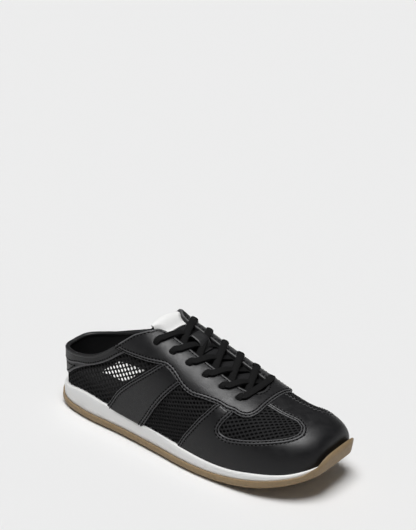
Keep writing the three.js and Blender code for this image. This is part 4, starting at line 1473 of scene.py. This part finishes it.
def net_places(side):
    """Turns lattice places, arc from the heel and arc up from the feather line, into points."""
    share = even_shares(TABLE_ALONG)
    girth = np.linspace(0, 1, TABLE_GIRTH)
    grid = form_point(share[:, None], side, girth[None, :], -MESH_DEPTH)
    level = form_point(share, side, np.full_like(share, NET_LEVEL), -MESH_DEPTH)
    steps = np.linalg.norm(np.diff(level, axis=0), axis=1)
    arc = np.concatenate([[0], np.cumsum(steps)])
    rise = np.linalg.norm(np.diff(grid, axis=1), axis=2)
    up = np.concatenate([np.zeros((len(share), 1)), np.cumsum(rise, axis=1)], axis=1)

    def place(a, b):
        row = np.interp(a, arc, np.arange(len(arc)))
        low = np.clip(row.astype(int), 0, len(arc) - 2)
        part = row - low
        t = np.array([
            np.interp(y, up[i], girth) * (1 - f) + np.interp(y, up[i + 1], girth) * f
            for i, f, y in zip(low, part, b)])
        s = np.interp(a, arc, share)
        return form_point(s, side, t, -MESH_DEPTH)

    return place, arc[-1], up


# Points round one cell, in sixths of its two edges
SIXTHS = 6
CELL_RIM = ((-3, -3), (-3, -1), (-3, 1), (-3, 3), (-1, 3), (1, 3), (3, 3), (3, 1), (3, -1), (3, -3),
            (1, -3), (-1, -3))


def make_net(name, side, cell, at_front):
    place, length, up = net_places(side)
    edges = np.array(cell)
    area = abs(np.linalg.det(edges))
    rim = np.array(CELL_RIM) @ edges / SIXTHS
    hole_rim = unit(rim) * HOLE_SHARE * math.sqrt(area)
    reach = int((length + up.max()) / math.sqrt(area)) + 1
    indices = np.array([(i, j) for i in range(-reach, reach) for j in range(-reach, reach)])
    cells = indices @ edges
    on_form = ((cells[:, 0] > NET_END_GAP) & (cells[:, 0] < length - NET_END_GAP)
               & (cells[:, 1] > 0) & (cells[:, 1] < up.max()))
    indices = indices[on_form]
    cells = cells[on_form]
    near = nearest_outer(place(cells[:, 0], cells[:, 1]))
    shown = ((covered[near] < NET_OVERLAP) & (topline_gap[near] > NET_RIM_GAP)
             & ((ahead[near] > NET_SPLIT) == at_front))
    indices = indices[shown]
    cells = cells[shown]
    spots = {}
    coords = []

    def spot(i, j, s, t):
        key = (SIXTHS * i + s, SIXTHS * j + t)
        if key not in spots:
            spots[key] = len(coords)
            coords.append(tuple(np.array(key) @ edges / SIXTHS))
        return spots[key]

    rings = [[spot(i, j, s, t) for s, t in CELL_RIM] for i, j in indices.tolist()]
    outer_count = len(coords)
    holes = []
    for a, b in cells:
        holes.append(list(range(len(coords), len(coords) + len(rim))))
        coords += [(a + da, b + db) for da, db in hole_rim]
    coords = np.array(coords)
    base = place(coords[:, 0], np.clip(coords[:, 1], 0, None))
    normals = outer.normals[nearest_outer(base)]
    crown = np.where(np.arange(len(coords)) < outer_count, BAR_CROWN, 0.0)
    front = base + normals * crown[:, None]
    back = base - normals * NET_THICKNESS
    count = len(coords)
    faces = []
    turn = 1 if side == LATERAL else -1
    for ring, hole in zip(rings, holes):
        for k in range(len(rim)):
            n = (k + 1) % len(rim)
            quads = [[ring[k], ring[n], hole[n], hole[k]],
                     [hole[k], hole[n], count + hole[n], count + hole[k]],
                     [count + hole[k], count + hole[n], count + ring[n], count + ring[k]]]
            faces += [quad[::turn] for quad in quads]
    return make_piece(name, np.vstack([front, back]), faces, net_cloth, [])


heel_net = make_net("mesh_heel_lateral", LATERAL, REAR_CELL, False)
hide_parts("upper")
make_net("mesh_heel_medial", MEDIAL, REAR_CELL, False)
make_net("mesh_front_lateral", LATERAL, FRONT_CELL, True)
make_net("mesh_front_medial", MEDIAL, FRONT_CELL, True)


# Tongue: it follows the form under the eyestay and stands up as a flat arch at its top
TONGUE_END = 0.383
ARCH_HEIGHT = 104.2
ARCH_DROP = 7.0
ARCH_TILT = 0.09
ARCH_HALF = 22
ARCH_START = 0.428
ARCH_FULL = 0.388
ARCH_EDGE = 5

# The open part of the tongue: share of the sole's length, half its width
free_opening = [[0.383, 27], [0.392, 21], [0.402, 16], [0.416, 13.2], [0.440, 12.2], [0.70, 12.5]]


def tongue_rise(x, y):
    """How far the tongue stands off the form's inside, in height."""
    along = along_at(x)
    out = np.abs(y - throat_centre(along))
    arch = ARCH_HEIGHT - ARCH_DROP * (out / ARCH_HALF) ** 2 - ARCH_TILT * (y - throat_centre(along))
    at, half = np.array(free_opening).T
    free = soft_ramp(np.interp(along, at, half) - out, 0, ARCH_EDGE)
    blend = soft_ramp(along, ARCH_START, ARCH_FULL)
    under = surface_at(x, y, -TONGUE_DEPTH)[..., 2]
    return np.clip(arch - under, 0, None) * blend * free


def tongue_point(x, y, depth):
    point = surface_at(x, y, -TONGUE_DEPTH - depth)
    point[..., 2] += tongue_rise(x, y)
    return point


def closed_patch(top, bottom):
    """Two grids of points, one over the other, joined round their edges."""
    rows, columns = top.shape[:2]
    ids = np.arange(rows * columns).reshape(rows, columns)
    count = rows * columns
    a, b, c, d = (part.ravel() for part in (ids[:-1, :-1], ids[1:, :-1], ids[1:, 1:], ids[:-1, 1:]))
    faces = list(np.stack([a, b, c, d], -1)) + list(np.stack([d, c, b, a], -1) + count)
    loop = np.concatenate([ids[:-1, 0], ids[-1, :-1], ids[:0:-1, -1], ids[0, :0:-1]])
    for p, q in zip(loop, np.roll(loop, -1)):
        faces.append([q, p, p + count, q + count])
    return np.vstack([top.reshape(-1, 3), bottom.reshape(-1, 3)]), faces


TONGUE_TOP_HALF = 0.235 * BALL_WIDTH
TONGUE_TOE_HALF = 0.215 * BALL_WIDTH
TONGUE_STEPS = 160
TONGUE_COLUMNS = 44
SIDE_SQUARENESS = 10
THIN_SIDE = 0.02
TONGUE_TIP = 0.012
THIN_TIP = 0.04


def tongue_grid(first, last, steps, across_steps, half_of):
    s = np.linspace(first, last, steps)[:, None]
    c = np.linspace(-1, 1, across_steps)[None, :]
    along = TONGUE_END + (TONGUE_TOE - TONGUE_END) * s
    x = x_at(along) + 0 * c
    y = throat_centre(along) + c * half_of(s, along)
    return x, y, s + 0 * c, c + 0 * s


def make_tongue():
    x, y, s, c = tongue_grid(0, 1, TONGUE_STEPS, TONGUE_COLUMNS, lambda s, along: (
        TONGUE_TOP_HALF + (TONGUE_TOE_HALF - TONGUE_TOP_HALF) * s))
    top = tongue_point(x, y, 0)
    low = tongue_point(x, y, TONGUE_THICKNESS)
    fat = (np.sqrt(np.clip(1 - np.abs(c) ** SIDE_SQUARENESS, THIN_SIDE, 1))
           * np.sqrt(np.clip(s / TONGUE_TIP, THIN_TIP, 1)))
    middle = (top + low) / 2
    half = (top - low) / 2 * fat[..., None]
    points, faces = closed_patch(middle + half, middle - half)
    return make_piece("tongue_padding", points, faces, tongue_cloth, ["tongue"])


make_tongue()


LABEL_HALF = 16.5
LABEL_START = -0.004
LABEL_STEPS = 30
LABEL_COLUMNS = 50
LABEL_RISE = 1.5
LABEL_THICKNESS = 1.3


def make_label():
    label_share = (LABEL_FOOT - TONGUE_END) / (TONGUE_TOE - TONGUE_END)
    x, y, _, _ = tongue_grid(LABEL_START, label_share, LABEL_STEPS, LABEL_COLUMNS,
                             lambda s, along: LABEL_HALF + 0 * s)
    top = tongue_point(x, y, 0)
    top[..., 2] += LABEL_RISE
    low = top - [0, 0, LABEL_THICKNESS]
    points, faces = closed_patch(top, low)
    return make_piece("tongue_label_cloth", points, faces, label_cloth, ["tongue_label"])


make_label()

# The keeper's arch: place along it from end to end, share of its rise
keeper_arch = [
    [-1, 0], [-0.81, 0.1], [-0.55, 0.85], [-0.2, 1], [0.2, 1], [0.5, 0.85], [0.81, 0.1], [1, 0],
]


KEEPER_STEPS = 5
KEEPER_COLUMNS = 9
KEEPER_LIFT = 0.1


def make_keeper():
    line = smooth(keeper_arch, KEEPER_STEPS)
    c = np.linspace(-1, 1, KEEPER_COLUMNS)[None, :]
    x = x_at(KEEPER_CENTRE) + line[:, :1] * KEEPER_LENGTH / 2 + 0 * c
    y = throat_centre(KEEPER_CENTRE) + KEEPER_SIDE + c * KEEPER_WIDTH / 2 + 0 * x
    low = tongue_point(x, y, 0)
    low[..., 2] += KEEPER_LIFT + line[:, 1:] * KEEPER_RISE
    slope = np.gradient(low[:, KEEPER_COLUMNS // 2], axis=0)
    out = unit(np.cross(slope, [0, 1, 0]))
    out *= np.sign(out[:, 2:])
    top = low + out[:, None, :] * KEEPER_THICKNESS
    points, faces = closed_patch(top, low)
    return make_piece("keeper_loop", points, faces, plain_leather, ["lace_keeper"])


make_keeper()

# Laces: each row is how far an arm has gone towards the toe in row steps, its place across in
# half throats, its level from 0 on the tongue to 1 on the eyestay, and its width and thickness
# as shares of the lace's own.
lateral_arm = [
    [0.30, -1.50, 1.00, 1.0, 1.0], [0.46, -1.06, 0.98, 1.0, 1.0], [0.57, -0.62, 0.84, 1.0, 1.0],
    [0.67, -0.22, 0.56, 1.0, 1.0], [0.77, 0.22, 0.22, 1.0, 0.9], [0.87, 0.66, 0.02, 1.0, 0.8],
    [0.96, 1.12, -0.12, 0.9, 0.4],
]
medial_arm = [
    [0.27, 1.48, 1.00, 1.0, 1.0], [0.44, 1.05, 1.02, 1.0, 1.0], [0.57, 0.70, 0.98, 1.0, 1.0],
    [0.70, 0.33, 0.88, 1.0, 1.0], [0.82, -0.05, 0.70, 1.0, 1.0], [0.93, -0.42, 0.40, 1.0, 1.0],
    [1.02, -0.76, 0.06, 1.0, 0.8], [1.10, -1.12, -0.12, 0.9, 0.4],
]
bar_arm = [
    [0.24, -1.45, 1.00, 1.0, 1.0], [0.31, -1.05, 0.98, 1.0, 1.0], [0.36, -0.35, 0.94, 1.0, 1.0],
    [0.35, 0.40, 0.94, 1.0, 1.0], [0.29, 1.05, 0.98, 1.0, 1.0], [0.20, 1.45, 1.00, 1.0, 1.0],
]

# The climb through an eyelet: its place across is outwards from the eyelet itself.
eyelet_climb = [
    [0.00, 0.18, -0.60, 1.0, 1.0], [0.02, 0.13, 0.15, 1.0, 1.1], [0.05, 0.04, 0.78, 1.0, 1.2],
    [0.14, -0.14, 1.00, 1.0, 1.1],
]

LACE_STEPS = 7
LACE_SIDES = 14
LACE_SQUARENESS = 2.3
LACE_LIFT = 0.1
LACE_UPRIGHT = 0.5


def eyelet_start(row, side):
    """An arm's first points: up through its eyelet and over the eyestay."""
    gap = float(lacing.gap(TOP_ROW + row * ROW_STEP)) * BALL_WIDTH / THROAT_END_RADIUS
    return [[step, side * (gap + out), *rest] for step, out, *rest in eyelet_climb]


def lace_part(row, arm):
    data = smooth(arm, LACE_STEPS)
    along = TOP_ROW + (row + data[:, 0]) * ROW_STEP
    x = x_at(along)
    y = throat_centre(along) + data[:, 1] * THROAT_END_RADIUS
    low = surface_at(x, y, -TONGUE_DEPTH)[:, 2] + tongue_rise(x, y)
    high = surface_at(x, y, STAY_RAISE)[:, 2]
    normal = unit(plan_normal(x, y, 0) + [0, 0, LACE_UPRIGHT])
    lift = (LACE_LIFT + LACE_THICKNESS / 2) / normal[:, 2]
    points = np.stack([x, y, low + (high - low) * data[:, 2] + lift], -1)
    return tube(points, normal, LACE_WIDTH * data[:, 3], LACE_THICKNESS * data[:, 4],
                LACE_SIDES, LACE_SQUARENESS)


for row in range(EYELET_ROWS - 1):
    parts = [lace_part(row, eyelet_start(row, LATERAL) + lateral_arm),
             lace_part(row, eyelet_start(row, MEDIAL) + medial_arm)]
    points, faces, fields = joined(parts)
    make_piece(f"lace_row_{row + 1}", points, faces, lace_braid,
               [f"lace_crossing_{row + 1}"], fields)
bottom_row = EYELET_ROWS - 1
points, faces, fields = lace_part(
    bottom_row, eyelet_start(bottom_row, LATERAL) + bar_arm + eyelet_start(bottom_row, MEDIAL)[::-1])
make_piece("lace_bottom_bar", points, faces, lace_braid, ["lace_bar"], fields)


# Sole
SOLE_STATIONS = 520
CAP_COLUMNS = 28
sole_share = even_shares(SOLE_STATIONS)


def sole_ring(offset, height, extra=0.0):
    """A ring that follows the sole's outline at an offset and a height."""
    share = sole_share
    reach = 2 * np.sqrt(np.clip(share * (1 - share), 0, None))
    end = reach ** np.where(share > 0.5, TOE_ROUND, HEEL_ROUND)
    grow = offset(share)
    x = (SOLE_LENGTH / 2 + grow) * (2 * share - 1)
    along = along_at(x)
    z = height(along) + extra
    rows = []
    for side, width in ((LATERAL, outline.lateral), (MEDIAL, outline.medial)):
        half = width(share) * BALL_WIDTH + grow
        y = outline.centre(share) * BALL_WIDTH + side * half * end
        rows.append(np.stack([x, y, z], -1))
    return rows


def loft(rings, low_cap=None):
    """A closed body through rings, with a flat cap on top and a flat or shaped one below."""
    points = []
    faces = []

    def add(block):
        start = sum(len(p) for p in points)
        points.append(block.reshape(-1, 3))
        return start + np.arange(block.shape[0] * block.shape[1]).reshape(block.shape[:2])

    def quads(ids, turn):
        a, b, c, d = (part.ravel() for part in (ids[:-1, :-1], ids[1:, :-1], ids[1:, 1:], ids[:-1, 1:]))
        for quad in np.stack([a, b, c, d], -1):
            faces.append(quad[::turn].tolist())

    for side in (0, 1):
        wall = np.stack([ring[side] for ring in rings], 1)
        quads(add(wall), -1 if side else 1)
    for ring, shape, turn in ((rings[0], low_cap, 1), (rings[-1], None, -1)):
        c = np.linspace(0, 1, CAP_COLUMNS + 1)[None, :, None]
        cap = ring[0][:, None, :] * (1 - c) + ring[1][:, None, :] * c
        if shape:
            cap[..., 2] += shape(cap)
        quads(add(cap), -turn)
    return np.vstack(points), faces


WELD = 1e-6


def welded(piece):
    """Joins the points that the strips of a closed body share."""
    mesh = bmesh.new()
    mesh.from_mesh(piece.data)
    bmesh.ops.remove_doubles(mesh, verts=mesh.verts, dist=WELD)
    bmesh.ops.dissolve_degenerate(mesh, edges=mesh.edges, dist=WELD)
    bmesh.ops.recalc_face_normals(mesh, faces=mesh.faces)
    mesh.to_mesh(piece.data)
    mesh.free()
    piece.data.shade_smooth()
    return piece


GROOVE_FLOOR = 0.35
GROOVE_MOUTH = 0.6


def groove_share(x):
    first = x_at(FIRST_GROOVE)
    step = (x - first + GROOVE_PITCH / 2) % GROOVE_PITCH - GROOVE_PITCH / 2
    inside = (x > first - GROOVE_PITCH / 2) & (x < x_at(LAST_GROOVE))
    wall = soft_ramp(np.abs(step), GROOVE_WIDTH * GROOVE_FLOOR, GROOVE_WIDTH * GROOVE_MOUTH)
    return np.where(inside, 1 - wall, 0)


SIDE_TAPER = 2.5
TOE_UNDERCUT = 2.6
TOE_SLOPE = 1.4
SIDE_HEIGHT = 3
GROOVE_FADE = 0.93
EDGE_WAVE = 0.35


def gum_foot(along):
    return -(SIDE_TAPER + TOE_UNDERCUT * toe_share(along))


def gum_side(along):
    return -TOE_SLOPE * toe_share(along)


def tread(cap):
    """Cross grooves that fade out at the sole's edge."""
    middle = (cap[:, :1, 1] + cap[:, -1:, 1]) / 2
    half = np.abs(cap[:, -1:, 1] - cap[:, :1, 1]) / 2 + WELD
    inner = 1 - soft_ramp(np.abs(cap[..., 1] - middle) / half, GROOVE_FADE, 1.0)
    return groove_share(cap[..., 0]) * GROOVE_DEPTH * inner


def waved(height):
    return lambda along: height(along) + EDGE_WAVE * groove_share(x_at(along))


def shifted(offset, by):
    return lambda along: offset(along) + by


def between(first, second, share):
    return lambda along: first(along) * (1 - share) + second(along) * share


# Each ring of the sole has an offset from its outline, a height, and some extra height. They run
# from the tread up the side, and on the outsole over its edge and down inside the lip.
def make_outsole():
    rings = [
        sole_ring(shifted(gum_foot, -0.5), bottom_height),
        sole_ring(gum_foot, waved(bottom_height), 0.25),
        sole_ring(between(gum_foot, gum_side, 0.45), bottom_height, SIDE_HEIGHT * 0.5),
        sole_ring(shifted(gum_side, -0.15), bottom_height, SIDE_HEIGHT * 0.9),
        sole_ring(gum_side, bottom_height, SIDE_HEIGHT * 1.1),
        sole_ring(between(gum_side, gum_top, 0.5),
                  between(shifted(bottom_height, SIDE_HEIGHT), gum_top_height, 0.5)),
        sole_ring(gum_top, gum_top_height, -0.45),
        sole_ring(shifted(gum_top, -0.15), gum_top_height, -0.12),
        sole_ring(shifted(gum_top, -0.5), gum_top_height),
        sole_ring(shifted(lip_inside, 0.3), gum_top_height),
        sole_ring(lip_inside, gum_top_height, -0.3),
        sole_ring(lip_inside, seat_height, -0.4),
    ]
    points, faces = loft(rings, low_cap=tread)
    piece = make_piece("gum_outsole", points, faces, gum_rubber, ["outsole"])
    return welded(piece)


FOAM_GAP = 0.2


def make_midsole():
    side = shifted(lip_inside, -FOAM_GAP)
    rings = [
        sole_ring(side, seat_height, 0.0),
        sole_ring(shifted(side, 0.25), between(seat_height, feather_height, 0.3)),
        sole_ring(shifted(side, 0.2), between(feather_height, seat_height, 0.3)),
        sole_ring(side, feather_height, -0.6),
        sole_ring(shifted(side, -0.25), feather_height, -0.15),
        sole_ring(shifted(side, -0.8), feather_height),
    ]
    points, faces = loft(rings)
    return welded(make_piece("foam_midsole", points, faces, white_foam, ["midsole"]))


def make_insole():
    share = sole_share
    grow = -LINING_DEPTH - CLEARANCE
    lateral = form_point(share, LATERAL, np.zeros_like(share), grow)
    medial = form_point(share, MEDIAL, np.zeros_like(share), grow)

    def row(inset, up):
        c = (lateral + medial) / 2
        half = (medial - lateral) / 2
        length = np.linalg.norm(half, axis=1, keepdims=True) + TINY
        half = half * np.clip(1 - inset / length, 0, 1)
        return [c - half + [0, 0, up], c + half + [0, 0, up]]

    height = INSOLE_THICKNESS + INSOLE_PILE
    profile = [[0.6, 0], [0, 0.6], [0, height - 0.8], [0.6, height - 0.1], [1.4, height]]
    rings = [row(inset, up) for inset, up in profile]
    points, faces = loft(rings)
    return welded(make_piece("insole_board", points, faces, insole_cloth, ["insole"]))


# The white that shows through the rear mesh: a bare patch on the insole
PATCH_FROM = -100
PATCH_TO = -74
PATCH_NEAR = -2
PATCH_FAR = 24
PATCH_LIFT = 0.25
PATCH_STEPS = 12


def make_insole_patch():
    x, y = np.meshgrid(np.linspace(PATCH_FROM, PATCH_TO, PATCH_STEPS),
                       np.linspace(PATCH_NEAR, PATCH_FAR, PATCH_STEPS), indexing="ij")
    share = share_at(x, -LINING_DEPTH - CLEARANCE)
    z = form_point(share, LATERAL, np.zeros_like(share), -LINING_DEPTH - CLEARANCE)[..., 2]
    top = np.stack([x, y, z + INSOLE_THICKNESS + INSOLE_PILE + PATCH_LIFT], -1)
    points, faces = closed_patch(top[:, ::-1], top[:, ::-1] - [0, 0, 2 * PATCH_LIFT])
    return make_piece("insole_patch", points, faces, label_cloth, [])


make_outsole()
make_midsole()
make_insole()
make_insole_patch()


# Camera, floor and light
CAMERA_AZIMUTH = 38.0
CAMERA_ELEVATION = 24.85
CAMERA_DISTANCE = 1268.46
CAMERA_LENS = 108.6
SENSOR = 36
PHOTO_WIDTH = 416
PHOTO_HEIGHT = 530
FAR_CLIP = 50
LOOK_AT = [0, 17.45, 153.18]


def make_camera():
    azimuth = math.radians(CAMERA_AZIMUTH)
    elevation = math.radians(CAMERA_ELEVATION)
    back = np.array([math.sin(azimuth) * math.cos(elevation),
                     -math.cos(azimuth) * math.cos(elevation), math.sin(elevation)])
    data = bpy.data.cameras.new("photo_camera")
    data.sensor_fit = "VERTICAL"
    data.sensor_height = SENSOR
    data.sensor_width = SENSOR * PHOTO_WIDTH / PHOTO_HEIGHT
    data.lens = CAMERA_LENS
    data.clip_end = FAR_CLIP
    camera = bpy.data.objects.new("photo_camera", data)
    camera.location = to_row(np.array(LOOK_AT) + back * CAMERA_DISTANCE).tolist()
    camera.rotation_euler = Vector(back.tolist()).to_track_quat("Z", "Y").to_euler()
    bpy.context.collection.objects.link(camera)
    bpy.context.scene.camera = camera


FLOOR_HALF = 6.0
FLOOR_COLOUR = rgb(0.82, 0.82, 0.82)
FLOOR_ROUGHNESS = 0.95


def make_floor():
    size = FLOOR_HALF
    mesh = bpy.data.meshes.new("floor")
    mesh.from_pydata([(-size, -size, 0), (size, -size, 0), (size, size, 0), (-size, size, 0)], [],
                     [(0, 1, 2, 3)])
    material, g, shader = new_material("floor")
    set_finish(g, shader, FLOOR_COLOUR, FLOOR_ROUGHNESS, shine=0.0)
    mesh.materials.append(material)
    floor = bpy.data.objects.new("floor", mesh)
    bpy.context.collection.objects.link(floor)


LIGHT_DISTANCE = 2.0


def make_light(name, toward, strength, angle, gloss_only=False):
    """A soft sun, as wide as its angle in degrees."""
    data = bpy.data.lights.new(name, "SUN")
    data.energy = strength
    data.angle = math.radians(angle)
    light = bpy.data.objects.new(name, data)
    direction = Vector(toward).normalized()
    light.location = direction * LIGHT_DISTANCE
    light.rotation_euler = direction.to_track_quat("Z", "Y").to_euler()
    light.visible_diffuse = not gloss_only
    bpy.context.collection.objects.link(light)


KEY_DIRECTION = (0.06, -0.16, 0.98)
KEY_STRENGTH = 2.9
KEY_ANGLE = 31
PANEL_DIRECTION = (0.06, -0.20, 0.98)
PANEL_STRENGTH = 5.2
PANEL_ANGLE = 45
SKY_STRENGTH = 0.12
WALL_STRENGTH = 0.85


def make_studio():
    """A dim sky that lights the shoe, seen by the camera as a pale wall."""
    world = bpy.data.worlds.new("studio")
    world.use_nodes = True
    sky = world.node_tree.nodes["Background"]
    sky.inputs["Color"].default_value = WHITE
    sky.inputs["Strength"].default_value = SKY_STRENGTH
    g = Graph(world.node_tree)
    wall = g.node("ShaderNodeBackground", {"Color": WHITE, "Strength": WALL_STRENGTH})
    seen = g.node("ShaderNodeLightPath").outputs["Is Camera Ray"]
    mixed = g.node("ShaderNodeMixShader", {0: seen, 1: sky.outputs[0], 2: wall.outputs[0]})
    g.set(world.node_tree.nodes["World Output"].inputs["Surface"], mixed.outputs[0])
    bpy.context.scene.world = world


bpy.context.scene.view_settings.view_transform = "Standard"
make_camera()
make_floor()
make_light("soft_key", KEY_DIRECTION, KEY_STRENGTH, KEY_ANGLE)
make_light("broad_panel", PANEL_DIRECTION, PANEL_STRENGTH, PANEL_ANGLE, gloss_only=True)
make_studio()
